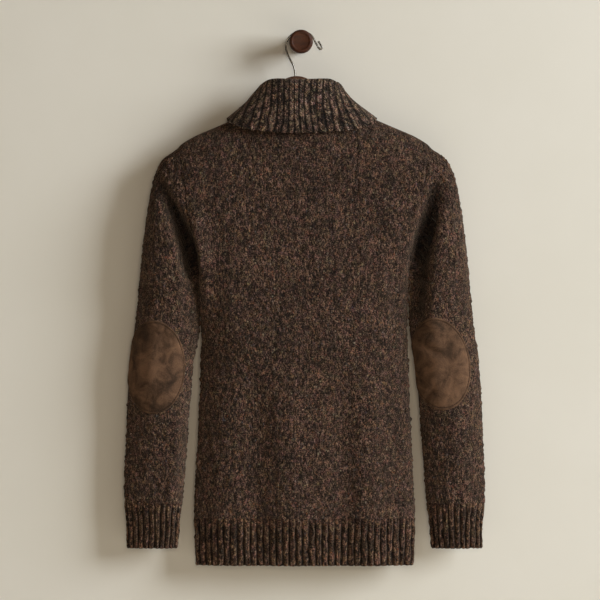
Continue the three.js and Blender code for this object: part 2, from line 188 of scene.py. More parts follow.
@dataclass(frozen=True)
class SoftFold:
    """A long soft ridge or trough in the cloth, between two places (across, height)."""

    start: tuple[float, float]
    end: tuple[float, float]
    rise: float
    width: float

    def lift(self, u: np.ndarray, z: np.ndarray) -> np.ndarray:
        """How far the fold moves the cloth outwards.

        Args:
            u: Distance right of the garment's centre line.
            z: Height.

        Returns:
            The rise at each place; a trough's is negative.
        """
        along = np.array(self.end) - np.array(self.start)
        length = float(np.hypot(*along))
        run_u, run_z = along / length
        forward = (u - self.start[0]) * run_u + (z - self.start[1]) * run_z
        aside = (u - self.start[0]) * run_z - (z - self.start[1]) * run_u
        taper = ease(forward / (0.35 * length)) * ease((length - forward) / (0.35 * length))
        return self.rise * taper * np.exp(-((aside / self.width) ** 2))


@dataclass(frozen=True)
class CreaseLine:
    """A crease down one side of the garment along a curved line, steeper towards the body."""

    hand: Hand
    line: Profile
    rise: Profile
    body_width: float
    sleeve_width: float

    def lift(self, u: np.ndarray, z: np.ndarray) -> np.ndarray:
        """How far the crease moves the cloth outwards; a trough's lift is negative.

        Args:
            u: Distance right of the garment's centre line.
            z: Height.

        Returns:
            The rise at each place.
        """
        aside = u * self.hand.value - self.line(z)
        width = np.where(aside < 0, self.body_width, self.sleeve_width)
        return self.rise(z) * np.exp(-((aside / width) ** 2))


def within_room(wanted: np.ndarray, depth: np.ndarray) -> np.ndarray:
    """A lift eased off where it nears the room that cloth at this depth has."""
    room = ROOM_SHARE * depth + LEAST_ROOM
    return room * np.tanh(wanted / room)


def crease_lift(u: np.ndarray, z: np.ndarray, depth: np.ndarray) -> np.ndarray:
    """The lift of all creases, kept within the room that the cloth has.

    Args:
        u: Distance right of the garment's centre line.
        z: Height.
        depth: Distance of the cloth from the middle plane.

    Returns:
        The lift at each place, nothing where the cloth lies on the middle plane.
    """
    return within_room(sum(crease.lift(u, z) for crease in CREASES), depth)


@dataclass(frozen=True)
class GarmentForm:
    """How far the cloth stands from the garment's middle plane, everywhere."""

    centre_x: float = 5.6
    neck_side_z: float = -113
    neck_back_z: float = -137
    neck_front_z: float = -300
    shoulder_tip_z: float = -171
    crease_top_z: float = -205
    underarm_z: float = -389
    hem_rib_top_z: float = -762
    hem_z: float = -837
    cuff_rib_top_z: float = -738
    cuff_z: float = -810
    neck_half_width: float = 88
    crease_softness: float = 17
    crease_growth: float = 1.45
    shoulder_blend: float = 60
    reach_at_shoulder: float = 25
    reach_at_underarm: float = 48
    left_slope_run: float = 120
    left_body_roundness: float = 0.3
    left_arm_roundness: float = 0.2
    right_arm_roundness: float = 0.45
    outline: Profile = Profile((
        (-113, 88), (-128.5, 124), (-138, 146), (-150.5, 175), (-163, 196), (-171, 204), (-180, 216),
        (-190, 227.5), (-208, 238), (-225, 243), (-274, 251.5), (-325, 258.5), (-380, 264), (-430, 269),
        (-461, 272.5), (-505, 278.5), (-545, 282), (-595, 284.5), (-660, 287.5), (-717, 289),
        (-749, 288), (-768, 286), (-810, 285),
    ))
    body_edge: Profile = Profile((
        (-389, 169), (-405, 166.5), (-430, 165), (-489, 165), (-523, 166.5), (-605, 169.5),
        (-670, 173), (-717, 175), (-774, 177.5), (-837, 176.5),
    ))
    sleeve_inner: Profile = Profile((
        (-389, 169.2), (-415, 168), (-455, 167.8), (-478, 170.5), (-500, 175.5), (-525, 179),
        (-600, 185), (-650, 188.5), (-690, 192), (-730, 194.5), (-755, 197), (-810, 201.5),
    ))
    armhole_seam: Profile = Profile((
        (-171, 204.1), (-200, 196.5), (-240, 190.5), (-280, 184.5), (-320, 178.5), (-355, 173), (-389, 169),
    ))
    armhole_crease: Profile = Profile((
        (-205, 228), (-232, 218), (-263, 207), (-294, 196), (-324, 186), (-355, 177), (-389, 169.1),
    ))
    middle_y: Profile = Profile(((-50, -38), (-250, -38), (-400, -38), (-600, -36.5), (-837, -35)))
    body_back: Profile = Profile((
        (-113, 34), (-200, 37), (-300, 38), (-389, 37), (-500, 35), (-650, 32), (-837, 26),
    ))
    body_front: Profile = Profile((
        (-113, 20), (-200, 22), (-300, 24), (-389, 26), (-500, 27), (-650, 27), (-837, 24),
    ))
    sleeve_back: Profile = Profile((
        (-205, 37), (-389, 30), (-500, 27), (-600, 25), (-700, 21), (-749, 17), (-810, 14),
    ))
    sleeve_front: Profile = Profile((
        (-205, 22), (-389, 24), (-500, 23), (-600, 22), (-700, 18), (-749, 15), (-810, 13),
    ))
    bow: float = 9
    bow_half_width: float = 190
    bow_full_depth: float = 38
    left_lean: Profile = Profile((
        (-389, 0.5), (-450, 0.45), (-530, 0.46), (-600, 0.7), (-700, 0.78), (-810, 0.7),
    ))
    yoke_reach: Profile = Profile(((-113, 75), (-250, 62), (-389, 48), (-410, 48)))
    left_reach: Profile = Profile((
        (-205, 30), (-300, 36), (-389, 44), (-450, 66), (-540, 120), (-700, 142), (-837, 125),
    ))
    right_reach: Profile = Profile((
        (-205, 36), (-300, 70), (-389, 90), (-450, 96), (-540, 104), (-700, 108), (-837, 90),
    ))

    def _panel_depth(self, u: np.ndarray, z: np.ndarray, face: Face) -> np.ndarray:
        """Depth of a panel away from its edges, greatest on the centre line."""
        full = self.body_back if face is Face.BACK else self.body_front
        return full(z) - self.bow * (u / self.bow_half_width) ** 2 * full(z) / self.bow_full_depth

    def _reach(self, u: np.ndarray, z: np.ndarray) -> np.ndarray:
        """How far the panel's rounded side goes in from its edge."""
        return np.where(u < 0, self.left_reach(z), self.right_reach(z))

    def _yoke_depth(self, u: np.ndarray, z: np.ndarray, face: Face) -> np.ndarray:
        """Depth above the underarm, where body and sleeve are one surface with a fold between.

        Args:
            u: Distance right of the centre line.
            z: Height.
            face: Side of the middle plane.

        Returns:
            The depth at each place.
        """
        across = np.abs(u)
        sleeve = self.sleeve_back if face is Face.BACK else self.sleeve_front
        crease = self.armhole_crease(z)
        slope = self.outline(z + 0.5) - self.outline(z - 0.5)
        from_outline = (self.outline(z) - across) / np.hypot(1, slope)
        past_crease = across - crease + self.shoulder_blend / 2
        full = mix(self._panel_depth(u, z, face), sleeve(z), ease(past_crease / self.shoulder_blend))
        fold_run = self.crease_top_z - self.underarm_z
        fold = np.clip((self.crease_top_z - z) / fold_run, 0, 1) ** self.crease_growth
        from_crease = np.hypot(across - crease, self.crease_softness * (1 - fold))
        sleeve_reach = mix(self.reach_at_shoulder, self.reach_at_underarm, fold)
        reach = np.where(across < crease, self._reach(u, z), sleeve_reach)
        kept = 1 - fold * (1 - round_off(from_crease, reach))
        return full * round_off(from_outline, self.yoke_reach(z)) * kept

    def depth(self, part: Part, u: np.ndarray, z: np.ndarray, face: Face) -> np.ndarray:
        """Distance of the cloth's outer face from the middle plane.

        Args:
            part: Body or sleeve, which differ below the underarm.
            u: Distance right of the garment's centre line.
            z: Height.
            face: Side of the middle plane.

        Returns:
            The depth at each place.
        """
        across = np.abs(u)
        if part is Part.BODY:
            inside, reach = self.body_edge(z) - across, self._reach(u, z)
            sloping = ease((self.underarm_z - z) / self.left_slope_run) * (u < 0)
            rise = mix(round_off(inside, reach), arch(inside, reach, self.left_body_roundness), sloping)
            low = self._panel_depth(u, z, face) * rise
        else:
            full = self.sleeve_back if face is Face.BACK else self.sleeve_front
            width = self.outline(z) - self.sleeve_inner(z)
            reach = np.where(u < 0, self.left_lean(z), 0.5) * width
            roundness = np.where(u < 0, self.left_arm_roundness, self.right_arm_roundness)
            outside = arch(self.outline(z) - across, reach, roundness)
            low = full(z) * outside * arch(across - self.sleeve_inner(z), width - reach)
        return np.where(z > self.underarm_z, self._yoke_depth(u, z, face), low)

    def surface(
        self, part: Part, u: np.ndarray, z: np.ndarray, face: Face
    ) -> tuple[np.ndarray, np.ndarray]:
        """Outer points and outward directions.

        Args:
            part: Body or sleeve.
            u: Distance right of the garment's centre line.
            z: Height.
            face: Side of the middle plane.

        Returns:
            Points and unit normals, each with a last axis of three.
        """
        u, z = np.broadcast_arrays(np.asarray(u, float), np.asarray(z, float))
        step, half_rise = 0.4, 0.5
        depth = self.depth(part, u, z, face)
        beside = self.depth(part, u + step, z, face) - self.depth(part, u - step, z, face)
        above = self.depth(part, u, z + step, face) - self.depth(part, u, z - step, face)
        lean = self.middle_y(z + half_rise) - self.middle_y(z - half_rise)
        facing = np.minimum(depth / 2, 1)
        side = face.value
        sloped = -above / (2 * step) - side * facing * lean
        normal = unit(np.stack([-beside / (2 * step), side * facing, sloped], axis=-1))
        y = self.middle_y(z) + side * np.maximum(depth, SEAM_GAP)
        return np.stack([self.centre_x + u, y, z], axis=-1), normal

    def keep_to_side(self, points: np.ndarray, face: Face) -> np.ndarray:
        """Inner points moved back where they cross the middle plane.

        Args:
            points: Inner points of a wall.
            face: Side of the middle plane that the wall is on.

        Returns:
            The points on their own side.
        """
        limit = self.middle_y(points[..., 2]) + face.value * SEAM_GAP
        kept = points.copy()
        keep = np.minimum if face is Face.BACK else np.maximum
        kept[..., 1] = keep(points[..., 1], limit)
        return kept

    def even_shares(self, part: Part, u: np.ndarray, z: np.ndarray, faces: list[Face]) -> np.ndarray:
        """Distances over the cloth along each row of fine spots, for even spacing.

        Args:
            part: Body or sleeve.
            u: Fine spots across, rows by spots.
            z: Height of each row.
            faces: Side of the middle plane of each spot in a row.

        Returns:
            Distance from each row's first spot.
        """
        height = np.broadcast_to(z[:, None], u.shape)
        back, _ = self.surface(part, u, height, Face.BACK)
        front, _ = self.surface(part, u, height, Face.FRONT)
        on_back = np.array([face is Face.BACK for face in faces])
        points = np.where(on_back[None, :, None], back, front)
        steps = np.linalg.norm(np.diff(points, axis=1), axis=-1)
        return np.concatenate([np.zeros((len(z), 1)), np.cumsum(steps, axis=1)], axis=1)


FORM = GarmentForm()


def fold_shade(lift: np.ndarray) -> np.ndarray:
    """How much painted shade darkens the wool at the bottom of a crease, 0 to 1."""
    shallow, deep = 2.0, 13.0
    return ease((-lift - shallow) / (deep - shallow))


def turn_faces(w: np.ndarray) -> list[Face]:
    """Side of the middle plane for each share of a turn around a sleeve, the back first."""
    return [Face.BACK if share < 0.5 else Face.FRONT for share in w]


SEAM_DITCH = Profile(((-160, 0), (-178, 0), (-205, -0.8), (-240, -0.4), (-270, 0), (-400, 0)))
CREASES = (
    CreaseLine(
        Hand.LEFT,
        Profile(((-200, 240), (-234, 224), (-269, 206), (-301, 191), (-330, 180), (-365, 174), (-400, 169))),
        Profile((
            (-150, 0), (-200, 0), (-234, -9), (-269, -17), (-301, -21), (-335, -20), (-365, -15),
            (-400, 0), (-450, 0),
        )),
        body_width=7.5, sleeve_width=18,
    ),
    CreaseLine(
        Hand.RIGHT,
        Profile(((-190, 222), (-229, 209), (-301, 190), (-341, 182), (-381, 180), (-434, 177), (-500, 180))),
        Profile((
            (-150, 0), (-195, 0), (-229, -8), (-265, -14), (-301, -18), (-341, -17), (-381, -14),
            (-434, -8), (-490, 0), (-560, 0),
        )),
        body_width=11, sleeve_width=18,
    ),
    CreaseLine(Hand.LEFT, FORM.armhole_seam, SEAM_DITCH, 2.6, 2.6),
    CreaseLine(Hand.RIGHT, FORM.armhole_seam, SEAM_DITCH, 2.6, 2.6),
)

BODY_FOLDS = (
    SoftFold((-130, -430), (-134, -960), 4.6, 27),
    SoftFold((-74, -440), (-74, -960), -4.8, 23),
    SoftFold((-22, -470), (-17, -960), 4.4, 26),
    SoftFold((62, -470), (66, -960), -4.4, 21),
    SoftFold((102, -440), (104, -960), 3.6, 23),
    SoftFold((150, -520), (146, -960), -2.0, 16),
    SoftFold((20, -220), (44, -520), 1.4, 26),
    SoftFold((-60, -200), (-160, -330), 1.8, 22),
    SoftFold((-176, -240), (-160, -480), 8.5, 13),
    SoftFold((-140, -250), (-138, -480), -2.6, 15),
    SoftFold((95, -190), (170, -350), 1.8, 18),
    SoftFold((140, -330), (150, -480), -2.0, 13),
)
SLEEVE_FOLDS = (
    SoftFold((200, -380), (206, -470), 2.6, 12),
    SoftFold((182, -430), (262, -470), -2.2, 11),
    SoftFold((190, -470), (250, -452), 1.6, 10),
    SoftFold((222, -380), (236, -600), -1.4, 12),
    SoftFold((196, -585), (276, -612), 1.5, 13),
    SoftFold((204, -650), (270, -632), -1.8, 12),
    SoftFold((240, -560), (252, -740), 1.3, 14),
    SoftFold((212, -700), (262, -722), -1.2, 10),
    SoftFold((226, -210), (246, -330), 1.6, 12),
)
ELBOW_CENTRES = {Hand.LEFT: (241, -520), Hand.RIGHT: (214, -515)}
ELBOW_FOLDS = {
    Hand.LEFT: (
        SoftFold((206, -496), (266, -518), -1.3, 6),
        SoftFold((212, -554), (258, -588), 1.2, 8),
        SoftFold((250, -466), (262, -566), -1.0, 8),
    ),
    Hand.RIGHT: (
        SoftFold((168, -476), (228, -506), -2.0, 6),
        SoftFold((170, -462), (226, -488), 1.3, 6),
        SoftFold((182, -588), (213, -544), -1.7, 5),
        SoftFold((216, -492), (200, -570), 1.5, 11),
    ),
}


def body_lift(u: np.ndarray, z: np.ndarray, face: Face) -> tuple[np.ndarray, np.ndarray]:
    """How far folds and creases move a panel's cloth outwards.

    Args:
        u: Distance right of the garment's centre line.
        z: Height.
        face: Side of the middle plane.

    Returns:
        The whole lift, and the part of it that the creases make.
    """
    depth = FORM.depth(Part.BODY, u, z, face)
    soft = sum(fold.lift(u, z) for fold in BODY_FOLDS)
    crease = crease_lift(u, z, depth)
    return within_room(soft, depth) + crease, crease


def sleeve_lift(
    hand: Hand, u: np.ndarray, z: np.ndarray, shares: np.ndarray
) -> tuple[np.ndarray, np.ndarray]:
    """How far folds and creases move a sleeve's cloth outwards.

    Args:
        hand: Which sleeve.
        u: Distance right of the garment's centre line.
        z: Height.
        shares: Share of the turn around the sleeve, under a half on its back.

    Returns:
        The whole lift, and the part of it that the creases make.
    """
    across = np.abs(u)
    soft = sum(fold.lift(across, z) for fold in SLEEVE_FOLDS) * ease((z - FORM.cuff_rib_top_z) / 25)
    elbow = sum(fold.lift(across, z) for fold in ELBOW_FOLDS[hand]) * (shares < 0.5)
    on_back = FORM.depth(Part.SLEEVE, u, z, Face.BACK)
    on_front = FORM.depth(Part.SLEEVE, u, z, Face.FRONT)
    crease = crease_lift(u, z, np.where(shares < 0.5, on_back, on_front))
    return (soft + elbow) * ease(np.sin(math.pi * shares) * 2.2) + crease, crease


# ---------------------------------------------------------------- meshes


def select_only(piece: bpy.types.Object) -> None:
    """Deselect everything and make one piece the active one.

    Args:
        piece: The piece.
    """
    bpy.ops.object.select_all(action="DESELECT")
    piece.select_set(True)
    bpy.context.view_layer.objects.active = piece


def smooth(piece: bpy.types.Object, degrees: float) -> None:
    """Shade a piece smooth, except across edges sharper than the given angle."""
    select_only(piece)
    bpy.ops.object.shade_smooth_by_angle(angle=math.radians(degrees))


def face_outwards(piece: bpy.types.Object, merge: float = 0.0) -> None:
    """Turn a closed mesh's faces outwards, once its doubled points are merged.

    Args:
        piece: The piece.
        merge: Points nearer than this become one, in millimetres; at 0 none do.
    """
    select_only(piece)
    bpy.ops.object.mode_set(mode="EDIT")
    bpy.ops.mesh.select_all(action="SELECT")
    if merge > 0:
        bpy.ops.mesh.remove_doubles(threshold=merge * MM)
    bpy.ops.mesh.normals_make_consistent(inside=False)
    bpy.ops.object.mode_set(mode="OBJECT")


@dataclass
class Wall:
    """A closed wall between an outer and an inner grid of points, with a map in metres."""

    outer: np.ndarray
    inner: np.ndarray
    chart: np.ndarray
    ring: bool = False
    groove: np.ndarray | None = None
    sharp_from: float = 62

    def _faces(self) -> tuple[np.ndarray, np.ndarray]:
        """Corners of every face.

        Returns:
            Point numbers and chart numbers of the faces' corners, each count by 4.
        """
        rows, columns = self.outer.shape[:2]
        wide = columns if self.ring else columns - 1
        row, column = np.meshgrid(np.arange(rows - 1), np.arange(wide), indexing="ij")
        row, column = row.ravel(), column.ravel()
        below, beside = row + 1, column + 1
        edge = np.arange(wide)
        after = edge + 1
        first, last = np.zeros(wide, int), np.full(wide, rows - 1)
        out, into = 0, 1
        corners = [
            [(out, row, column), (out, below, column), (out, below, beside), (out, row, beside)],
            [(into, row, column), (into, row, beside), (into, below, beside), (into, below, column)],
            [(out, first, edge), (out, first, after), (into, first, after), (into, first, edge)],
            [(out, last, edge), (into, last, edge), (into, last, after), (out, last, after)],
        ]
        if not self.ring:
            side = np.arange(rows - 1)
            under = side + 1
            near, far = np.zeros(rows - 1, int), np.full(rows - 1, columns - 1)
            corners.append([(out, side, near), (into, side, near), (into, under, near), (out, under, near)])
            corners.append([(out, side, far), (out, under, far), (into, under, far), (into, side, far)])
        layer = rows * columns
        chart_columns = self.chart.shape[1]
        points, charts = [], []
        for face in corners:
            points.append(np.stack([way * layer + r * columns + c % columns for way, r, c in face], axis=1))
            charts.append(np.stack([r * chart_columns + c for _, r, c in face], axis=1))
        return np.concatenate(points), np.concatenate(charts)

    def build(self, name: str) -> bpy.types.Object:
        """Make the mesh object.

        Args:
            name: Name of the piece.

        Returns:
            The new object, with its chart as a UV map and its groove as an attribute that sets how much shade
            its finish paints.
        """
        points = np.concatenate([self.outer.reshape(-1, 3), self.inner.reshape(-1, 3)]) * MM
        faces, charts = self._faces()
        a, b, c, d = (points[faces[:, i]] for i in range(4))
        volume = np.sum(a * np.cross(b, c)) + np.sum(a * np.cross(c, d))
        if volume < 0:
            faces, charts = faces[:, ::-1], charts[:, ::-1]
        mesh = bpy.data.meshes.new(name)
        mesh.from_pydata(points.tolist(), [], faces.tolist())
        layer = mesh.uv_layers.new(name="chart")
        spots = self.chart.reshape(-1, 2)[charts.ravel()] * MM
        layer.data.foreach_set("uv", spots.astype(np.float32).ravel())
        groove = np.zeros(self.outer.shape[:2]) if self.groove is None else self.groove
        store = mesh.attributes.new("groove", "FLOAT", "POINT")
        store.data.foreach_set("value", np.tile(groove.ravel(), 2).astype(np.float32))
        mesh.update()
        piece = bpy.data.objects.new(name, mesh)
        bpy.context.collection.objects.link(piece)
        smooth(piece, self.sharp_from)
        return piece


def chart_of(points: np.ndarray, middle: int, top: np.ndarray) -> np.ndarray:
    """Lay a grid of points out flat, so that stitches keep their size over curves.

    Args:
        points: Grid of outer points.
        middle: Column that the distances across are measured from.
        top: Height given to the first spot of each column.

    Returns:
        Distances across and down for each grid point.
    """
    steps = np.diff(points, axis=1)
    run = np.cumsum(np.hypot(steps[..., 0], steps[..., 1]), axis=1)
    across = np.concatenate([np.zeros((len(points), 1)), run], axis=1)
    across = across - across[:, middle : middle + 1]
    steps = np.diff(points, axis=0)
    fall = np.cumsum(np.hypot(steps[..., 1], steps[..., 2]), axis=0)
    down = np.concatenate([top[None, :], top[None, :] - fall])
    return np.stack([across, down], axis=-1)


# ---------------------------------------------------------------- shader tools


def paint(red: int, green: int, blue: int) -> tuple[float, float, float, float]:
    """A screen colour as the shader's own linear colour.

    Args:
        red: Red, 0 to 255.
        green: Green.
        blue: Blue.

    Returns:
        The colour, opaque.
    """
    def linear(level: int) -> float:
        """One channel without the screen's curve."""
        share = level / 255
        return share / 12.92 if share <= 0.04045 else ((share + 0.055) / 1.055) ** 2.4
    return linear(red), linear(green), linear(blue), 1.0


Value = bpy.types.NodeSocket | float | tuple


class Shader:
    """Adds nodes to one tree and joins them, so that a finish reads as a list of steps."""

    def __init__(self, tree: bpy.types.NodeTree) -> None:
        """Keep the tree that the nodes go into."""
        self.tree = tree

    def feed(self, socket: bpy.types.NodeSocket, value: Value) -> None:
        """Join a socket to another one, or set its own value.

        Args:
            socket: The input.
            value: An output to join it to, or its value.
        """
        if isinstance(value, bpy.types.NodeSocket):
            self.tree.links.new(value, socket)
        else:
            socket.default_value = value

    def add(
        self, kind: str, inputs: dict[str | int, Value] | None = None, **settings: object
    ) -> bpy.types.Node:
        """Add a node.

        Args:
            kind: Its type name.
            inputs: Values or outputs for its inputs.
            **settings: Its own options.

        Returns:
            The new node.
        """
        node = self.tree.nodes.new(kind)
        for name, value in settings.items():
            setattr(node, name, value)
        for key, value in (inputs or {}).items():
            self.feed(node.inputs[key], value)
        return node

    def math(self, operation: str, *values: Value, clamp: bool = False) -> bpy.types.NodeSocket:
        """Add a Math node.

        Args:
            operation: What it does.
            *values: Its inputs in order.
            clamp: Whether the result is kept from 0 to 1.

        Returns:
            Its output.
        """
        node = self.add("ShaderNodeMath", dict(enumerate(values)), operation=operation, use_clamp=clamp)
        return node.outputs[0]

    def between(
        self, value: Value, low: float, high: float, out_low: float = 0.0, out_high: float = 1.0
    ) -> bpy.types.NodeSocket:
        """Map a range smoothly onto another one, and keep to it.

        Args:
            value: The number to map.
            low: Where the range starts.
            high: Where it ends.
            out_low: Result at its start.
            out_high: Result at its end.

        Returns:
            The mapped number.
        """
        inputs = {"Value": value, "From Min": low, "From Max": high, "To Min": out_low, "To Max": out_high}
        return self.add("ShaderNodeMapRange", inputs, interpolation_type="SMOOTHSTEP").outputs["Result"]

    def blend(self, share: Value, a: Value, b: Value, way: str = "MIX") -> bpy.types.NodeSocket:
        """Blend two colours.

        Args:
            share: How much of the second.
            a: First colour.
            b: Second colour.
            way: Blend type.

        Returns:
            The blended colour.
        """
        node = self.add("ShaderNodeMix", data_type="RGBA", blend_type=way)
        self.feed(node.inputs[0], share)
        self.feed(node.inputs[6], a)
        self.feed(node.inputs[7], b)
        return node.outputs[2]

    def noise(
        self, place: Value, scale: float, detail: float = 2.0, roughness: float = 0.5
    ) -> bpy.types.Node:
        """Add a Noise Texture at a place, with its scale in features per metre."""
        inputs = {"Vector": place, "Scale": scale, "Detail": detail, "Roughness": roughness}
        return self.add("ShaderNodeTexNoise", inputs)

    def ramp(self, share: Value, stops: tuple[tuple[float, tuple], ...]) -> bpy.types.NodeSocket:
        """Read a colour from stops.

        Args:
            share: Where it is read, 0 to 1.
            stops: (position, colour) pairs.

        Returns:
            The colour.
        """
        node = self.add("ShaderNodeValToRGB", {"Fac": share})
        elements = node.color_ramp.elements
        while len(elements) < len(stops):
            elements.new(0.5)
        for element, (position, colour) in zip(elements, stops):
            element.position = position
            element.color = colour
        return node.outputs["Color"]


def new_group(
    name: str, inputs: dict[str, str], outputs: dict[str, str]
) -> tuple[bpy.types.NodeTree, Shader, dict[str, bpy.types.NodeSocket], bpy.types.Node]:
    """Start a shader node group.

    Args:
        name: Name of the effect.
        inputs: Name and kind (Float, Vector or Color) of each input.
        outputs: Name and kind of each output.

    Returns:
        The group, a tool that adds nodes to it, its inputs by name, and its output node.
    """
    group = bpy.data.node_groups.new(name, "ShaderNodeTree")
    for label, kind in inputs.items():
        group.interface.new_socket(name=label, in_out="INPUT", socket_type=f"NodeSocket{kind}")
    for label, kind in outputs.items():
        group.interface.new_socket(name=label, in_out="OUTPUT", socket_type=f"NodeSocket{kind}")
    shader = Shader(group)
    source = shader.add("NodeGroupInput")
    sink = shader.add("NodeGroupOutput")
    return group, shader, {label: source.outputs[label] for label in inputs}, sink


def stitch_group() -> bpy.types.NodeTree:
    """Columns of V-shaped stitches.

    Returns:
        A group that gives the stitches' height, the gaps between them and a random mark for each leg.
    """
    group, shader, given, sink = new_group(
        "knit_stitches",
        {"Chart": "Vector", "Place": "Vector", "Wale": "Float", "Course": "Float", "Leg Share": "Float",
         "Unevenness": "Float"},
        {"Height": "Float", "Gap": "Float", "Leg Mark": "Color"},
    )
    drift = shader.noise(given["Place"], 120, 1.0).outputs["Color"]
    centred = shader.add("ShaderNodeVectorMath", {0: drift, 1: (0.5, 0.5, 0.5)}, operation="SUBTRACT")
    moved = shader.add(
        "ShaderNodeVectorMath", {0: centred.outputs[0], "Scale": given["Unevenness"]}, operation="SCALE"
    )
    spot = shader.add("ShaderNodeVectorMath", {0: given["Chart"], 1: moved.outputs[0]}, operation="ADD")
    parts = shader.add("ShaderNodeSeparateXYZ", {0: spot.outputs[0]})
    wales = shader.math("DIVIDE", parts.outputs["X"], given["Wale"])
    column = shader.math("FLOOR", wales)
    inside = shader.math("SUBTRACT", wales, column)
    from_middle = shader.math("MULTIPLY", shader.math("ABSOLUTE", shader.math("SUBTRACT", inside, 0.5)), 2.0)
    right_side = shader.math("GREATER_THAN", inside, 0.5)
    slant = shader.math("MULTIPLY", from_middle, 0.95)
    courses = shader.math("SUBTRACT", shader.math("DIVIDE", parts.outputs["Y"], given["Course"]), slant)
    row = shader.math("FLOOR", courses)
    up = shader.math("SUBTRACT", courses, row)
    leg_place = shader.math("DIVIDE", from_middle, given["Leg Share"])
    off_leg = shader.math("ABSOLUTE", shader.math("SUBTRACT", shader.math("MULTIPLY", leg_place, 2.0), 1.0))
    across = shader.math("SUBTRACT", 1.0, shader.math("POWER", off_leg, 3.6), clamp=True)
    off_course = shader.math("ABSOLUTE", shader.math("SUBTRACT", shader.math("MULTIPLY", up, 2.0), 1.0))
    along = shader.math("SUBTRACT", 1.0, shader.math("POWER", off_course, 2.2), clamp=True)
    plump = shader.math("ADD", shader.math("MULTIPLY", along, 0.85), 0.15)
    height = shader.math("MULTIPLY", across, plump)
    mark_place = shader.add(
        "ShaderNodeCombineXYZ",
        {"X": shader.math("ADD", column, shader.math("MULTIPLY", right_side, 0.5)), "Y": row, "Z": 0.0},
    )
    mark = shader.add("ShaderNodeTexWhiteNoise", {"Vector": mark_place.outputs[0]}, noise_dimensions="3D")
    shader.feed(sink.inputs["Height"], height)
    shader.feed(sink.inputs["Gap"], shader.between(height, 0.05, 0.5, 1.0, 0.0))
    shader.feed(sink.inputs["Leg Mark"], mark.outputs["Color"])
    return group


def heather_group() -> bpy.types.NodeTree:
    """Yarn spun from dark and light wool with coloured flecks.

    Returns:
        A group that gives the yarn's colour from a place and a random mark for each stitch leg.
    """
    group, shader, given, sink = new_group(
        "heather_yarn",
        {"Place": "Vector", "Leg Mark": "Color", "Dark": "Color", "Middle": "Color", "Light": "Color",
         "Fleck Share": "Float"},
        {"Color": "Color", "Fuzz": "Float"},
    )
    fibres = shader.noise(given["Place"], 520, 2.0, 0.8).outputs[0]
    patches = shader.noise(given["Place"], 120, 2.0, 0.6).outputs[0]
    marks = shader.add("ShaderNodeSeparateColor", {0: given["Leg Mark"]})
    tone = shader.math("ADD", shader.math("MULTIPLY", fibres, 2.2), shader.math("MULTIPLY", patches, 0.4))
    tone = shader.math("ADD", tone, shader.math("MULTIPLY", marks.outputs[0], 0.4))
    darker = shader.blend(shader.between(tone, 1.14, 1.64), given["Dark"], given["Middle"])
    yarn = shader.blend(shader.between(tone, 1.44, 1.98), darker, given["Light"])
    cells = shader.add("ShaderNodeTexVoronoi", {"Vector": given["Place"], "Scale": 330.0, "Randomness": 1.0})
    picks = shader.add("ShaderNodeSeparateColor", {0: cells.outputs["Color"]})
    core = shader.between(cells.outputs["Distance"], 0.28, 0.6, 1.0, 0.0)
    chosen = shader.math("LESS_THAN", picks.outputs[0], given["Fleck Share"])
    shade = shader.ramp(picks.outputs[1], (
        (0.0, paint(150, 124, 98)), (0.3, paint(124, 62, 34)), (0.55, paint(176, 152, 124)),
        (0.75, paint(74, 76, 84)), (1.0, paint(140, 88, 54)),
    ))
    fleck = shader.math("MULTIPLY", shader.math("MULTIPLY", core, chosen), 0.62)
    flecked = shader.blend(fleck, yarn, shade)
    hues = shader.noise(given["Place"], 120, 3.0, 0.75).outputs["Color"]
    tint = shader.add(
        "ShaderNodeVectorMath", {0: hues, 1: (0.95, 0.8, 1.2), 2: (0.525, 0.6, 0.4)},
        operation="MULTIPLY_ADD",
    )
    flecked = shader.blend(1.0, flecked, tint.outputs[0], "MULTIPLY")
    clouds = shader.noise(given["Place"], 32, 3.0, 0.6).outputs[0]
    bright = shader.between(clouds, 0.3, 0.7, 0.76, 1.22)
    grey = shader.add("ShaderNodeCombineColor", {0: bright, 1: bright, 2: bright})
    shader.feed(sink.inputs["Color"], shader.blend(1.0, flecked, grey.outputs[0], "MULTIPLY"))
    shader.feed(sink.inputs["Fuzz"], fibres)
    return group


def grain_group() -> bpy.types.NodeTree:
    """Long streaks and pores, as in wood.

    Returns:
        A group that gives the streaks' tone and the pores' depth.
    """
    group, shader, given, sink = new_group(
        "wood_grain", {"Place": "Vector", "Across": "Vector"}, {"Tone": "Float", "Pores": "Float"}
    )
    stretched = shader.add(
        "ShaderNodeVectorMath", {0: given["Place"], 1: given["Across"]}, operation="MULTIPLY"
    )
    streaks = shader.noise(stretched.outputs[0], 1.0, 5.0, 0.6)
    streaks.inputs["Distortion"].default_value = 0.8
    pores = shader.noise(stretched.outputs[0], 4.0, 2.0, 0.6).outputs[0]
    shader.feed(sink.inputs["Tone"], streaks.outputs[0])
    shader.feed(sink.inputs["Pores"], shader.between(pores, 0.56, 0.72))
    return group


@dataclass
class Effects:
    """The shader node groups that several finishes share."""

    stitches: bpy.types.NodeTree = field(default_factory=stitch_group)
    heather: bpy.types.NodeTree = field(default_factory=heather_group)
    grain: bpy.types.NodeTree = field(default_factory=grain_group)


def new_material(name: str) -> tuple[bpy.types.Material, Shader, bpy.types.Node]:
    """Start a material.

    Args:
        name: Name of the finish.

    Returns:
        The material, a tool that adds nodes to it, and its Principled shader.
    """
    material = bpy.data.materials.new(name)
    material.use_nodes = True
    return material, Shader(material.node_tree), material.node_tree.nodes["Principled BSDF"]


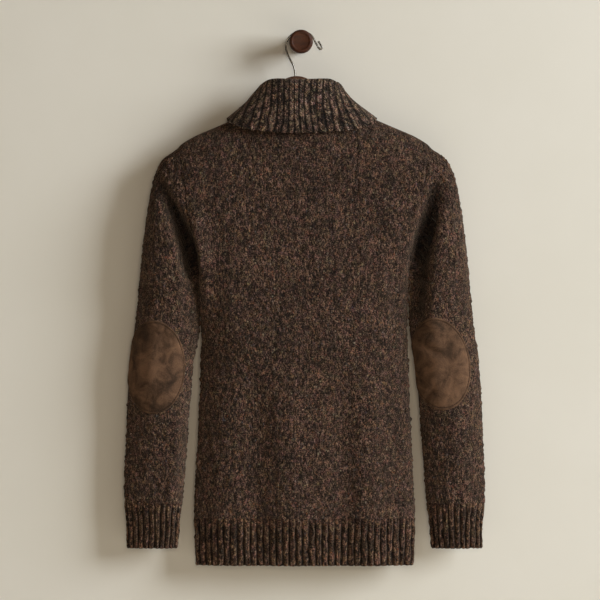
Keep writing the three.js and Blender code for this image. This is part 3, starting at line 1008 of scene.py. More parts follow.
@dataclass(frozen=True)
class TweedKnit:
    """Heathered wool, knitted in columns of V-shaped stitches; ribs have one column each. Shade is painted
    into the gaps between stitches and into creases and rib grooves.
    """

    name: str
    dark: tuple[float, ...]
    middle: tuple[float, ...]
    light: tuple[float, ...]
    wale: float = 4.5
    course: float = 3.7
    leg_share: float = 1.0
    unevenness: float = 2.6
    fleck_share: float = 0.13
    gap_shade: float = 0.62
    groove_shade: float = 0.92
    fuzz: float = 0.9
    relief: float = 1.3

    def build(self, effects: Effects) -> bpy.types.Material:
        """Make the material.

        Args:
            effects: The shared node groups.

        Returns:
            The material, which reads the piece's chart, its place and its groove attribute, the share of
            painted shade in creases and rib grooves.
        """
        material, shader, surface = new_material(self.name)
        chart = shader.add("ShaderNodeUVMap", uv_map="chart").outputs[0]
        place = shader.add("ShaderNodeTexCoord").outputs["Object"]
        groove = shader.add("ShaderNodeAttribute", attribute_name="groove").outputs["Fac"]
        stitch = shader.add("ShaderNodeGroup", node_tree=effects.stitches)
        for socket, value in (
            ("Chart", chart), ("Place", place), ("Wale", self.wale * MM), ("Course", self.course * MM),
            ("Leg Share", self.leg_share), ("Unevenness", self.unevenness * MM),
        ):
            shader.feed(stitch.inputs[socket], value)
        yarn = shader.add("ShaderNodeGroup", node_tree=effects.heather)
        for socket, value in (
            ("Place", place), ("Leg Mark", stitch.outputs["Leg Mark"]), ("Dark", self.dark),
            ("Middle", self.middle), ("Light", self.light), ("Fleck Share", self.fleck_share),
        ):
            shader.feed(yarn.inputs[socket], value)
        # Painted shade: the deep colour darkens the wool in the gaps between stitches and, by the groove
        # attribute, in creases and rib grooves.
        deep = shader.blend(1.0, yarn.outputs["Color"], paint(64, 55, 52), "MULTIPLY")
        gap = shader.math("MULTIPLY", stitch.outputs["Gap"], self.gap_shade)
        colour = shader.blend(gap, yarn.outputs["Color"], deep)
        in_groove = shader.math("MULTIPLY", groove, self.groove_shade)
        shader.feed(surface.inputs["Base Color"], shader.blend(in_groove, colour, deep))
        fuzz = shader.math("MULTIPLY", yarn.outputs["Fuzz"], self.fuzz)
        raised = shader.add("ShaderNodeBump", {"Strength": 1.0, "Distance": self.relief * MM})
        shader.feed(raised.inputs["Height"], shader.math("ADD", stitch.outputs["Height"], fuzz))
        shader.feed(surface.inputs["Normal"], raised.outputs[0])
        surface.inputs["Roughness"].default_value = 0.95
        surface.inputs["Specular IOR Level"].default_value = 0.18
        surface.inputs["Sheen Weight"].default_value = 0.3
        surface.inputs["Sheen Roughness"].default_value = 0.42
        surface.inputs["Sheen Tint"].default_value = paint(190, 165, 140)
        return material


@dataclass(frozen=True)
class Suede:
    """Brushed leather with a mottled nap, and shade painted along its sunken stitch line."""

    name: str = "suede_brown"
    dark: tuple[float, ...] = paint(46, 32, 21)
    light: tuple[float, ...] = paint(112, 82, 61)
    stitch_line_shade: tuple[float, ...] = paint(38, 26, 18)

    def build(self) -> bpy.types.Material:
        """Make the material.

        Returns:
            The material, which reads the piece's place and its groove attribute, where shade is painted along
            the stitch line.
        """
        material, shader, surface = new_material(self.name)
        place = shader.add("ShaderNodeTexCoord").outputs["Object"]
        groove = shader.add("ShaderNodeAttribute", attribute_name="groove").outputs["Fac"]
        brushed = shader.noise(place, 40, 4.0, 0.62)
        brushed.inputs["Distortion"].default_value = 0.7
        fibres = shader.noise(place, 900, 3.0, 0.7).outputs[0]
        nap = shader.math("MULTIPLY", brushed.outputs[0], 0.75)
        tone = shader.math("ADD", nap, shader.math("MULTIPLY", fibres, 0.35))
        colour = shader.blend(shader.between(tone, 0.36, 0.76), self.dark, self.light)
        # Painted shade: the sunken stitch groove is darkened towards the shade colour.
        sunk = shader.math("MULTIPLY", groove, 0.55)
        shader.feed(surface.inputs["Base Color"], shader.blend(sunk, colour, self.stitch_line_shade))
        raised = shader.add("ShaderNodeBump", {"Height": tone, "Strength": 0.5, "Distance": 0.5 * MM})
        shader.feed(surface.inputs["Normal"], raised.outputs[0])
        surface.inputs["Roughness"].default_value = 0.9
        surface.inputs["Specular IOR Level"].default_value = 0.2
        surface.inputs["Sheen Weight"].default_value = 0.35
        surface.inputs["Sheen Roughness"].default_value = 0.4
        surface.inputs["Sheen Tint"].default_value = paint(200, 165, 130)
        return material


@dataclass(frozen=True)
class StainedWood:
    """Dark stained and waxed wood; the grain's sizes are features per metre along X, Y and Z."""

    name: str
    dark: tuple[float, ...]
    light: tuple[float, ...]
    grain: tuple[float, float, float]

    def build(self, effects: Effects) -> bpy.types.Material:
        """Make the material.

        Args:
            effects: The shared node groups.

        Returns:
            The material, which reads the piece's place.
        """
        material, shader, surface = new_material(self.name)
        place = shader.add("ShaderNodeTexCoord").outputs["Object"]
        grain = shader.add("ShaderNodeGroup", node_tree=effects.grain)
        shader.feed(grain.inputs["Place"], place)
        shader.feed(grain.inputs["Across"], self.grain)
        colour = shader.blend(shader.between(grain.outputs["Tone"], 0.32, 0.68), self.dark, self.light)
        pores = shader.math("MULTIPLY", grain.outputs["Pores"], 0.6)
        shader.feed(surface.inputs["Base Color"], shader.blend(pores, colour, self.dark))
        rough = shader.between(grain.outputs["Tone"], 0.3, 0.7, 0.5, 0.66)
        shader.feed(surface.inputs["Roughness"], rough)
        raised = shader.add("ShaderNodeBump", {"Strength": 0.25, "Distance": 0.2 * MM}, invert=True)
        shader.feed(raised.inputs["Height"], grain.outputs["Pores"])
        shader.feed(surface.inputs["Normal"], raised.outputs[0])
        surface.inputs["Coat Weight"].default_value = 0.03
        surface.inputs["Specular IOR Level"].default_value = 0.22
        surface.inputs["Coat Roughness"].default_value = 0.25
        return material


@dataclass(frozen=True)
class BrightWire:
    """Drawn steel wire, a little dulled by handling."""

    name: str = "steel_wire"
    dull: tuple[float, ...] = paint(84, 81, 77)
    clean: tuple[float, ...] = paint(122, 118, 112)

    def build(self) -> bpy.types.Material:
        """Make the material.

        Returns:
            The material, which reads the piece's place.
        """
        material, shader, surface = new_material(self.name)
        place = shader.add("ShaderNodeTexCoord").outputs["Object"]
        smudges = shader.noise(place, 160, 3.0, 0.6).outputs[0]
        shader.feed(surface.inputs["Base Color"], shader.blend(smudges, self.dull, self.clean))
        shader.feed(surface.inputs["Roughness"], shader.between(smudges, 0.3, 0.7, 0.12, 0.2))
        surface.inputs["Metallic"].default_value = 1.0
        return material


# ---------------------------------------------------------------- knitted panels


@dataclass
class KnitPanel:
    """The back or the front of the body, from the shoulders to the top of the hem rib."""

    name: str
    face: Face
    columns: int = 151
    yoke_rows: int = 96
    lower_rows: int = 152
    wall: float = 3.0
    nub: float = 0.65
    plain_edge: float = 4.0
    crowding: float = 1.7
    fine_spots: int = 301
    seed: int = 11

    def neckline(self, share: np.ndarray) -> tuple[np.ndarray, np.ndarray]:
        """Places along the neckline.

        Args:
            share: 0 at the centre, 1 at the shoulder seam.

        Returns:
            Distance across and height.
        """
        if self.face is Face.BACK:
            drop = FORM.neck_side_z - FORM.neck_back_z
            angle = share * math.pi / 2
            return FORM.neck_half_width * np.sin(angle), FORM.neck_side_z - drop * np.cos(angle)
        curve = 1.15
        return FORM.neck_half_width * share, mix(FORM.neck_front_z, FORM.neck_side_z, share**curve)

    def top(self, s: np.ndarray) -> tuple[np.ndarray, np.ndarray]:
        """Places along the top edge.

        Args:
            s: -1 at the left shoulder tip, 1 at the right one.

        Returns:
            Distance right of the centre line and height.
        """
        share = np.abs(s)
        neck_u, neck_z = self.neckline(np.minimum(share / 0.5, 1))
        shoulder_z = mix(FORM.neck_side_z, FORM.shoulder_tip_z, (share - 0.5) / 0.5)
        on_neck = share < 0.5
        z = np.where(on_neck, neck_z, shoulder_z)
        return np.sign(s) * np.where(on_neck, neck_u, FORM.outline(shoulder_z)), z

    def body_rows(self, levels: np.ndarray) -> np.ndarray:
        """Rows of places spaced evenly over the cloth.

        Args:
            levels: Heights of the rows.

        Returns:
            Distance right of the centre line, rows by columns.
        """
        w = np.linspace(0, 1, self.fine_spots)
        fine = -FORM.body_edge(levels)[:, None] * np.cos(math.pi * w)[None, :]
        lengths = FORM.even_shares(Part.BODY, fine, levels, [self.face] * len(w))
        targets = np.linspace(0, 1, self.columns)
        return np.stack([np.interp(targets * run[-1], run, row) for run, row in zip(lengths, fine)])

    def spots(self) -> tuple[np.ndarray, np.ndarray]:
        """Places of the whole panel, in rows that crowd towards the shoulders.

        Returns:
            Distance right of the centre line and height of every grid point.
        """
        s = np.linspace(-1, 1, self.columns)
        down = np.linspace(0, 1, self.yoke_rows, endpoint=False) ** self.crowding
        side_z = mix(FORM.shoulder_tip_z, FORM.underarm_z, down)
        foot = self.body_rows(np.array([FORM.underarm_z]))[0]
        top_u, top_z = self.top(s)
        side_u = FORM.armhole_seam(side_z) - SEAM_GAP
        shift = side_u - mix(top_u[-1], foot[-1], down)
        yoke_u = mix(top_u[None, :], foot[None, :], down[:, None]) + s[None, :] * shift[:, None]
        yoke_z = mix(top_z[None, :], FORM.underarm_z, down[:, None])
        levels = np.linspace(FORM.underarm_z, FORM.hem_rib_top_z + SEAM_GAP / 2, self.lower_rows)
        lower_u = self.body_rows(levels)
        lower_z = np.broadcast_to(levels[:, None], lower_u.shape)
        return np.concatenate([yoke_u, lower_u]), np.concatenate([yoke_z, lower_z])

    def build(self, finish: bpy.types.Material) -> bpy.types.Object:
        """Make the panel.

        Args:
            finish: Its material.

        Returns:
            The piece.
        """
        u, z = self.spots()
        points, normals = FORM.surface(Part.BODY, u, z, self.face)
        folds, crease = body_lift(u, z, self.face)
        nub = self.nub * smooth_noise(*u.shape, 1, self.seed) * ease((z[0] - z) / self.plain_edge)
        chart = chart_of(points, self.columns // 2, z[0])
        outer = points + normals * (folds + nub)[..., None]
        inner = FORM.keep_to_side(points + normals * (folds - self.wall)[..., None], self.face)
        # The creases' painted shade goes into the groove attribute.
        piece = Wall(outer, inner, chart, groove=fold_shade(crease)).build(self.name + "_panel")
        piece.data.materials.append(finish)
        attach(piece, "root")
        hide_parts(self.name)
        return piece


@dataclass
class Sleeve:
    """One sleeve, from the armhole seam to the top of the cuff rib."""

    hand: Hand
    columns: int = 101
    cap_rows: int = 90
    arm_rows: int = 146
    wall: float = 3.0
    nub: float = 0.65
    plain_edge: float = 14.0
    crowding: float = 1.25
    top_gap: float = 0.5
    fine_spots: int = 401
    patch_half_size: tuple[float, float] = (52, 75)
    seed: int = 31

    def trace(self, levels: np.ndarray, w: np.ndarray) -> np.ndarray:
        """Distances from the centre line along turns of the sleeve at the given heights.

        Args:
            levels: Heights.
            w: Share of the turn, from the inner edge over the back and home over the front.

        Returns:
            Levels by shares.
        """
        cap_inner = (FORM.armhole_seam(levels) + SEAM_GAP)[:, None]
        arm_inner = FORM.sleeve_inner(levels)[:, None]
        outer = FORM.outline(levels)[:, None]
        cap = mix(cap_inner, outer, np.sin(math.pi * w)[None, :])
        arm = mix(arm_inner, outer, (1 - np.cos(2 * math.pi * w)[None, :]) / 2)
        return np.where((levels > FORM.underarm_z)[:, None], cap, arm)

    def spots(self, levels: np.ndarray, columns: int) -> tuple[np.ndarray, np.ndarray]:
        """Evenly spaced places around the sleeve.

        Args:
            levels: Heights of the rows.
            columns: How many places a row has.

        Returns:
            Distance right of the centre line and share of the turn.
        """
        w = np.linspace(0, 1, self.fine_spots)
        fine = self.trace(levels, w)
        lengths = FORM.even_shares(Part.SLEEVE, fine, levels, turn_faces(w))
        targets = np.linspace(0, 1, columns)
        shares = np.stack([np.interp(targets * run[-1], run, w) for run in lengths])
        across = np.stack([np.interp(row, w, values) for row, values in zip(shares, fine)])
        return self.hand.value * across, shares

    def around(self, u: np.ndarray, z: np.ndarray, shares: np.ndarray) -> tuple[np.ndarray, np.ndarray]:
        """Outer points of places around the sleeve, each on its own face.

        Args:
            u: Distance right of the garment's centre line.
            z: Height.
            shares: Share of the turn.

        Returns:
            Points and unit normals.
        """
        back = FORM.surface(Part.SLEEVE, u, z, Face.BACK)
        front = FORM.surface(Part.SLEEVE, u, z, Face.FRONT)
        on_back = (shares < 0.5)[..., None]
        return np.where(on_back, back[0], front[0]), np.where(on_back, back[1], front[1])

    def inside(self, points: np.ndarray, shares: np.ndarray) -> np.ndarray:
        """Inner points, each kept on its own side of the middle plane.

        Args:
            points: Points of the wall's inner face.
            shares: Share of the turn of each.

        Returns:
            The points on their own side.
        """
        back = FORM.keep_to_side(points, Face.BACK)
        front = FORM.keep_to_side(points, Face.FRONT)
        return np.where((shares < 0.5)[..., None], back, front)

    def under_patch(self, u: np.ndarray, z: np.ndarray) -> np.ndarray:
        """Where the sleeve lies smooth under its elbow patch.

        Args:
            u: Distance right of the garment's centre line.
            z: Height.

        Returns:
            1 under the patch, 0 away from it.
        """
        middle_u, middle_z = ELBOW_CENTRES[self.hand]
        half_width, half_height = self.patch_half_size
        from_elbow = np.hypot((np.abs(u) - middle_u) / half_width, (z - middle_z) / half_height)
        return ease((1.15 - from_elbow) / 0.12)

    def build(self, finish: bpy.types.Material) -> bpy.types.Object:
        """Make the sleeve.

        Args:
            finish: Its material.

        Returns:
            The piece.
        """
        down = np.linspace(0, 1, self.cap_rows, endpoint=False) ** self.crowding
        cap = mix(FORM.shoulder_tip_z - self.top_gap, FORM.underarm_z, down)
        arm = np.linspace(FORM.underarm_z, FORM.cuff_rib_top_z + SEAM_GAP / 2, self.arm_rows)
        levels = np.concatenate([cap, arm])
        u, shares = self.spots(levels, self.columns)
        z = np.broadcast_to(levels[:, None], u.shape)
        points, normals = self.around(u, z, shares)
        folds, crease = sleeve_lift(self.hand, u, z, shares)
        nub = self.nub * smooth_noise(*u.shape, 1, self.seed + self.hand.value)
        nub = nub * (1 - self.under_patch(u, z)) * ease((levels[0] - z) / self.plain_edge)
        chart = chart_of(points, self.columns // 2, z[0])
        outer = points + normals * (folds + nub)[..., None]
        inner = self.inside(points + normals * (folds - self.wall)[..., None], shares)
        side = self.hand.name.lower()
        # The creases' painted shade goes into the groove attribute.
        piece = Wall(outer, inner, chart, groove=fold_shade(crease)).build(f"sleeve_{side}_knit")
        piece.data.materials.append(finish)
        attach(piece, "root")
        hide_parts(f"sleeve_{side}")
        return piece


# ---------------------------------------------------------------- ribbed bands and collar


@dataclass(frozen=True)
class Ribs:
    """Upright ribs: rounded crests with narrow grooves between them."""

    depth: float = 3.2
    squareness: float = 1.0
    fade: float = 20.0
    wander: float = 0.1
    columns_each: int = 12
    rounding: float = 1.6
    rounding_run: float = 3.0
    scallop: float = 1.1
    scallop_run: float = 12.0

    def relief(self, phase: np.ndarray, from_top: np.ndarray, seed: int) -> tuple[np.ndarray, np.ndarray]:
        """How far the face stands below the crests.

        Args:
            phase: Ribs counted across; whole numbers are groove bottoms.
            from_top: Distance below the edge where the ribs begin.
            seed: Seed of the ribs' unevenness.

        Returns:
            The relief, zero at crests and negative in grooves, and how deep in a groove a place is, which
            also sets the shade painted into the grooves.
        """
        uneven = smooth_noise(*phase.shape, 10, seed)
        crest = np.abs(np.sin(math.pi * (phase + self.wander * uneven))) ** self.squareness
        strength = ease(from_top / self.fade)
        return -self.depth * strength * (1 - crest), strength * (1 - crest) ** 1.2

    def drawn_in(self, to_edge: np.ndarray) -> np.ndarray:
        """How far each face goes in towards the other, near the loose edge."""
        return self.rounding * (1 - round_off(to_edge, self.rounding_run))

    def overhang(self, to_edge: np.ndarray, groove: np.ndarray) -> np.ndarray:
        """How far the crests reach past the loose edge, which makes it scalloped."""
        return self.scallop * ease(1 - to_edge / self.scallop_run) * (1 - groove)


@dataclass
class HemRib:
    """The ribbed band along the bottom of the back or the front."""

    name: str
    face: Face
    count: int = 35
    rows: int = 30
    wall: float = 4.0
    nub: float = 0.42
    seed: int = 51
    ribs: Ribs = Ribs()

    def build(self, finish: bpy.types.Material) -> bpy.types.Object:
        """Make the band.

        Args:
            finish: Its material.

        Returns:
            The piece.
        """
        levels = np.linspace(FORM.hem_rib_top_z - SEAM_GAP / 2, FORM.hem_z, self.rows)
        columns = self.count * self.ribs.columns_each + 1
        u = KnitPanel(self.name, self.face, columns=columns).body_rows(levels)
        z = np.broadcast_to(levels[:, None], u.shape)
        points, normals = FORM.surface(Part.BODY, u, z, self.face)
        folds, _ = body_lift(u, z, self.face)
        points = points + normals * folds[..., None]
        phase = np.broadcast_to(np.arange(columns) / self.ribs.columns_each, u.shape)
        relief, groove = self.ribs.relief(phase, FORM.hem_rib_top_z - z, self.seed)
        relief = relief + self.nub * smooth_noise(*u.shape, 1, self.seed + 1)
        rounding = self.ribs.drawn_in(z - FORM.hem_z)
        outer = points + normals * (relief - rounding)[..., None]
        inner = FORM.keep_to_side(points - normals * (self.wall - rounding)[..., None], self.face)
        outer[..., 2] -= self.ribs.overhang(z - FORM.hem_z, groove)
        inner[..., 2] = outer[..., 2]
        chart = np.stack([phase * RIB_PITCH, z], axis=-1)
        piece = Wall(outer, inner, chart, groove=groove).build(self.name + "_knit")
        piece.data.materials.append(finish)
        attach(piece, "root")
        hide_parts(self.name)
        return piece


@dataclass
class Cuff:
    """The ribbed cuff at the end of one sleeve, a closed ring."""

    hand: Hand
    count: int = 21
    rows: int = 30
    wall: float = 4.0
    nub: float = 0.42
    seed: int = 71
    ribs: Ribs = Ribs()

    def build(self, finish: bpy.types.Material) -> bpy.types.Object:
        """Make the cuff.

        Args:
            finish: Its material.

        Returns:
            The piece.
        """
        sleeve = Sleeve(self.hand)
        levels = np.linspace(FORM.cuff_rib_top_z - SEAM_GAP / 2, FORM.cuff_z, self.rows)
        columns = self.count * self.ribs.columns_each
        u, shares = sleeve.spots(levels, columns + 1)
        u, shares = u[:, :-1], shares[:, :-1]
        z = np.broadcast_to(levels[:, None], u.shape)
        points, normals = sleeve.around(u, z, shares)
        phase = np.broadcast_to(np.arange(columns) / self.ribs.columns_each, u.shape)
        relief, groove = self.ribs.relief(phase, FORM.cuff_rib_top_z - z, self.seed)
        relief = relief + self.nub * smooth_noise(*u.shape, 1, self.seed + 1)
        rounding = self.ribs.drawn_in(z - FORM.cuff_z)
        outer = points + normals * (relief - rounding)[..., None]
        inner = sleeve.inside(points - normals * (self.wall - rounding)[..., None], shares)
        outer[..., 2] -= self.ribs.overhang(z - FORM.cuff_z, groove)
        inner[..., 2] = outer[..., 2]
        across = np.arange(columns + 1) / self.ribs.columns_each * RIB_PITCH
        chart = np.stack(np.broadcast_arrays(across[None, :], levels[:, None]), axis=-1)
        side = self.hand.name.lower()
        piece = Wall(outer, inner, chart, ring=True, groove=groove).build(f"cuff_{side}_knit")
        piece.data.materials.append(finish)
        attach(piece, "root")
        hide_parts(f"cuff_{side}")
        return piece


@dataclass
class Collar:
    """The ribbed shawl collar: a stand up from the neckline, a soft fold and a fall.

    Places along one half are distances from the centre back, measured along the fold. A pair of
    sizes is the one at the centre back and the one at the end that its method names.
    """

    half_length: float = 310
    shoulder_at: float = 85
    half_count: int = 32
    wall: float = 4.0
    shift: float = -6
    nub: float = 0.42
    seed: int = 91
    ribs: Ribs = Ribs(depth=3.6, squareness=1.5, fade=4.0, rounding=1.4, scallop=2.0)
    stand_rows: int = 9
    fold_rows: int = 11
    fall_rows: int = 30
    fold_radius: tuple[float, float] = (5.5, 3.6)
    off_seam: tuple[float, float] = (0.5, 2.8)
    bulge: tuple[float, float] = (5, 0.5)
    fold_u: Profile = Profile((
        (0, 0), (20, 20), (40, 39), (55, 51), (70, 59), (85, 63), (100, 61.5), (130, 54), (180, 42),
        (240, 25), (310, 6),
    ))
    fold_y: Profile = Profile((
        (0, -31), (20, -30.5), (40, -27), (55, -20), (70, -10), (85, 2), (100, 11), (130, 18), (180, 22),
        (240, 25), (310, 28),
    ))
    fold_z: Profile = Profile((
        (0, -62.5), (20, -62.2), (40, -61.5), (55, -63), (70, -67), (85, -74), (100, -86), (130, -113),
        (180, -159), (240, -217), (310, -281),
    ))
    loose_u: Profile = Profile((
        (0, 0), (20, 21), (40, 44), (55, 65), (70, 87), (85, 109), (100, 117), (114, 118.5), (130, 115),
        (180, 98), (240, 66), (310, 34),
    ))
    loose_y: Profile = Profile((
        (0, -45), (20, -45), (40, -44), (55, -42), (70, -38), (85, -28), (100, -12), (114, 5), (130, 17),
        (180, 29), (240, 32), (310, 32.5),
    ))
    loose_z: Profile = Profile((
        (0, -146), (20, -146), (40, -144.5), (55, -142.5), (70, -139.5), (85, -133), (100, -126),
        (114, -122.5), (130, -129.5), (180, -172), (240, -238), (310, -298),
    ))
    back_share: Profile = Profile(((0, 0), (20, 0.22), (40, 0.45), (55, 0.62), (70, 0.8), (85, 0.97)))
    front_share: Profile = Profile(((85, 1.0), (100, 0.97), (130, 0.9), (180, 0.68), (240, 0.4), (310, 0.1)))

    def place(self, lines: tuple[Profile, Profile, Profile], k: np.ndarray, hand: np.ndarray) -> np.ndarray:
        """Points along a line of the collar.

        Args:
            lines: The line's distance across, its distance from the middle plane and its height.
            k: Distances from the centre back.
            hand: -1 or 1 for the side of each.

        Returns:
            A point for each distance.
        """
        slipped = self.shift * (1 - ease(k / self.half_length))
        z = lines[2](k)
        x = FORM.centre_x + slipped + hand * lines[0](k)
        return np.stack([x, FORM.middle_y(z) + lines[1](k), z], axis=-1)

    def sewn_edge(self, k: np.ndarray, hand: np.ndarray) -> np.ndarray:
        """Points where the collar is sewn on, in the middle of the panels' wall.

        Args:
            k: Distances from the centre back.
            hand: -1 or 1 for the side of each.

        Returns:
            A point for each distance.
        """
        sewn = []
        for face, share in ((Face.BACK, self.back_share(k)), (Face.FRONT, self.front_share(k))):
            panel = KnitPanel("", face)
            u, z = panel.neckline(np.clip(share, 0, 1))
            points, normals = FORM.surface(Part.BODY, hand * u, z, face)
            sewn.append(points - normals * panel.wall / 2)
        on_back = (k <= self.shoulder_at)[:, None]
        return np.where(on_back, sewn[0], sewn[1])

    def middle_grid(self, k: np.ndarray, hand: np.ndarray) -> np.ndarray:
        """The middle of the collar's wall, from the sewn edge over the fold to the loose edge.

        The fold's radius and the fall's bulge change as far as the collar's end, and the distance off
        the seam as far as the shoulder.

        Args:
            k: Distances from the centre back.
            hand: -1 or 1 for the side of each.

        Returns:
            Points, rows down the section by places along the collar.
        """
        sewn = self.sewn_edge(k, hand)
        fold = self.place((self.fold_u, self.fold_y, self.fold_z), k, hand)
        loose = self.place((self.loose_u, self.loose_y, self.loose_z), k, hand)
        up = unit(fold - (sewn + loose) / 2)
        out = loose - sewn
        out = unit(out - up * np.sum(out * up, axis=-1, keepdims=True))
        share = k / self.half_length
        radius = mix(*self.fold_radius, ease(share))[:, None]
        centre = fold - up * radius
        stand_top = centre - out * radius
        lift = mix(*self.off_seam, ease(k / self.shoulder_at))[:, None]
        base = sewn + unit(stand_top - sewn) * lift
        rows = [mix(base, stand_top, t) for t in np.linspace(0, 1, self.stand_rows, endpoint=False)]
        for angle in np.linspace(0, math.pi, self.fold_rows, endpoint=False):
            rows.append(centre - out * radius * math.cos(angle) + up * radius * math.sin(angle))
        bulge = mix(*self.bulge, share)[:, None]
        fall_top = centre + out * radius
        for t in np.linspace(0, 1, self.fall_rows):
            rows.append(mix(fall_top, loose, t) + out * bulge * math.sin(math.pi * t))
        return np.stack(rows)

    def build(self, finish: bpy.types.Material) -> bpy.types.Object:
        """Make the collar.

        Args:
            finish: Its material.

        Returns:
            The piece.
        """
        columns = 2 * self.half_count * self.ribs.columns_each + 1
        along = np.linspace(-self.half_length, self.half_length, columns)
        grid = self.middle_grid(np.abs(along), np.where(along < 0, -1, 1))
        normals = unit(np.cross(np.gradient(grid, axis=1), np.gradient(grid, axis=0)))
        steps = np.linalg.norm(np.diff(grid, axis=0), axis=-1)
        down = np.concatenate([np.zeros((1, columns)), np.cumsum(steps, axis=0)])
        phase = np.broadcast_to(along / self.half_length * self.half_count, down.shape)
        relief, groove = self.ribs.relief(phase, down, self.seed)
        relief = relief + self.nub * smooth_noise(*down.shape, 1, self.seed + 1)
        to_edge = down[-1:] - down
        rounding = self.ribs.drawn_in(to_edge)
        half = self.wall / 2
        outer = grid + normals * (half + relief - rounding)[..., None]
        inner = grid - normals * (half - rounding)[..., None]
        reach = unit(np.gradient(grid, axis=0)) * self.ribs.overhang(to_edge, groove)[..., None]
        outer = outer + reach
        inner = inner + reach
        chart = np.stack([phase * RIB_PITCH, -down], axis=-1)
        piece = Wall(outer, inner, chart, groove=groove).build("collar_knit")
        piece.data.materials.append(finish)
        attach(piece, "root")
        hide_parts("collar")
        return piece


# ---------------------------------------------------------------- elbow patches


@dataclass
class ElbowPatch:
    """An oval of suede on a sleeve's back, sewn on by a line of small stitches."""

    hand: Hand
    tilt: float
    half_width: float = 52
    half_height: float = 74.6
    wall: float = 1.5
    lift: float = 0.35
    edge_run: float = 2.6
    seam_depth: float = 0.75
    seam_width: float = 0.75
    rim_puff: float = 0.35
    unevenness: float = 0.12
    stitch_inset: float = 3.4
    stitch_count: int = 92
    stitch_crown: float = 0.3
    bead: tuple[tuple[float, float], ...] = ((-1.0, 0.15), (-0.6, 0.42), (0.0, 0.5), (0.6, 0.42), (1.0, 0.15))
    bead_sides: int = 6
    sectors: int = 176
    rings: int = 44
    fine_spots: int = 301

    def over_sleeve(self, across: np.ndarray, z: np.ndarray) -> tuple[np.ndarray, np.ndarray]:
        """Points and normals at distances over the sleeve from the patch's middle line.

        Args:
            across: Distances, away from the body.
            z: Heights.

        Returns:
            Points on the sleeve's outer face and its normals.
        """
        sleeve = Sleeve(self.hand)
        w = np.linspace(0, 1, self.fine_spots)
        on_back = slice(self.fine_spots // 2)
        centre_u, centre_z = ELBOW_CENTRES[self.hand]
        levels = np.arange(centre_z - 80, centre_z + 81, 2.0)
        fine = sleeve.trace(levels, w)
        lengths = FORM.even_shares(Part.SLEEVE, fine, levels, turn_faces(w))
        starts = [np.interp(centre_u, row[on_back], run[on_back]) for row, run in zip(fine, lengths)]
        lengths = lengths - np.array(starts)[:, None]
        flat_across, flat_z = across.ravel(), z.ravel()
        below = np.clip(np.searchsorted(levels, flat_z) - 1, 0, len(levels) - 2)
        part = (flat_z - levels[below]) / (levels[below + 1] - levels[below])
        shares = np.array([
            mix(np.interp(d, lengths[i], w), np.interp(d, lengths[i + 1], w), t)
            for d, i, t in zip(flat_across, below, part)
        ]).reshape(across.shape)
        inner, outer = FORM.sleeve_inner(z), FORM.outline(z)
        u = self.hand.value * mix(inner, outer, (1 - np.cos(2 * math.pi * shares)) / 2)
        points, normals = sleeve.around(u, z, shares)
        folds, _ = sleeve_lift(self.hand, u, z, shares)
        return points + normals * folds[..., None], normals

    def oval(self, radius: np.ndarray, angle: np.ndarray) -> tuple[np.ndarray, np.ndarray]:
        """Places on the patch, turned by its tilt.

        Args:
            radius: 0 at the middle, 1 at the rim.
            angle: Around the oval.

        Returns:
            Distance away from the body and height.
        """
        wide = self.half_width * radius * np.cos(angle)
        high = self.half_height * radius * np.sin(angle)
        turned_wide = wide * math.cos(self.tilt) - high * math.sin(self.tilt)
        turned_high = wide * math.sin(self.tilt) + high * math.cos(self.tilt)
        return turned_wide, ELBOW_CENTRES[self.hand][1] + turned_high

    def build(self, finish: bpy.types.Material, thread: bpy.types.Material) -> bpy.types.Object:
        """Make the patch and its stitches.

        Args:
            finish: Material of the suede.
            thread: Material of the stitches.

        Returns:
            The patch.
        """
        radius = 1 - np.linspace(1, 0, self.rings) ** 1.5
        angle = np.linspace(0, 2 * math.pi, self.sectors, endpoint=False)
        wide, high = self.oval(radius[:, None], angle[None, :])
        points, normals = self.over_sleeve(wide, high)
        to_rim = (1 - radius) * (self.half_width + self.half_height) / 2
        edge = round_off(to_rim, self.edge_run)
        thread_line = np.exp(-(((to_rim - self.stitch_inset) / self.seam_width) ** 2))
        puff = self.rim_puff * np.exp(-(((to_rim - 1.2) / 1.6) ** 2))
        height = self.wall * edge - self.seam_depth * thread_line + puff
        uneven = self.unevenness * smooth_noise(self.rings, self.sectors, 3, 7 + self.hand.value)
        uneven = uneven * ease((radius - 0.2) / 0.6)[:, None]
        outer = points + normals * (self.lift + height[:, None] + uneven * edge[:, None])[..., None]
        inner = points + normals * (self.lift * 0.2)
        # Shade is painted along the sunken stitch line through the groove attribute.
        groove = np.broadcast_to(thread_line[:, None], outer.shape[:2])
        columns = np.arange(self.sectors + 1)
        chart = np.stack(np.broadcast_arrays(columns[None, :] * 2.0, -to_rim[:, None]), axis=-1)
        side = self.hand.name.lower()
        piece = Wall(outer, inner, chart, ring=True, groove=groove).build(f"elbow_patch_{side}_suede")
        self.close_middle(piece)
        piece.data.materials.append(finish)
        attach(piece, "root")
        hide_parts(f"elbow_patch_{side}")
        stitches = self.stitches(side)
        stitches.data.materials.append(thread)
        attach(stitches, "root")
        log.info("%s: %d faces", stitches.name, len(stitches.data.polygons))
        return piece

    def close_middle(self, piece: bpy.types.Object) -> None:
        """Merge the innermost ring, which has no width, into one point on each face.

        Args:
            piece: The patch.
        """
        select_only(piece)
        bpy.ops.object.mode_set(mode="EDIT")
        bpy.ops.mesh.select_all(action="SELECT")
        bpy.ops.mesh.remove_doubles(threshold=0.002 * MM)
        bpy.ops.mesh.delete_loose()
        bpy.ops.object.mode_set(mode="OBJECT")

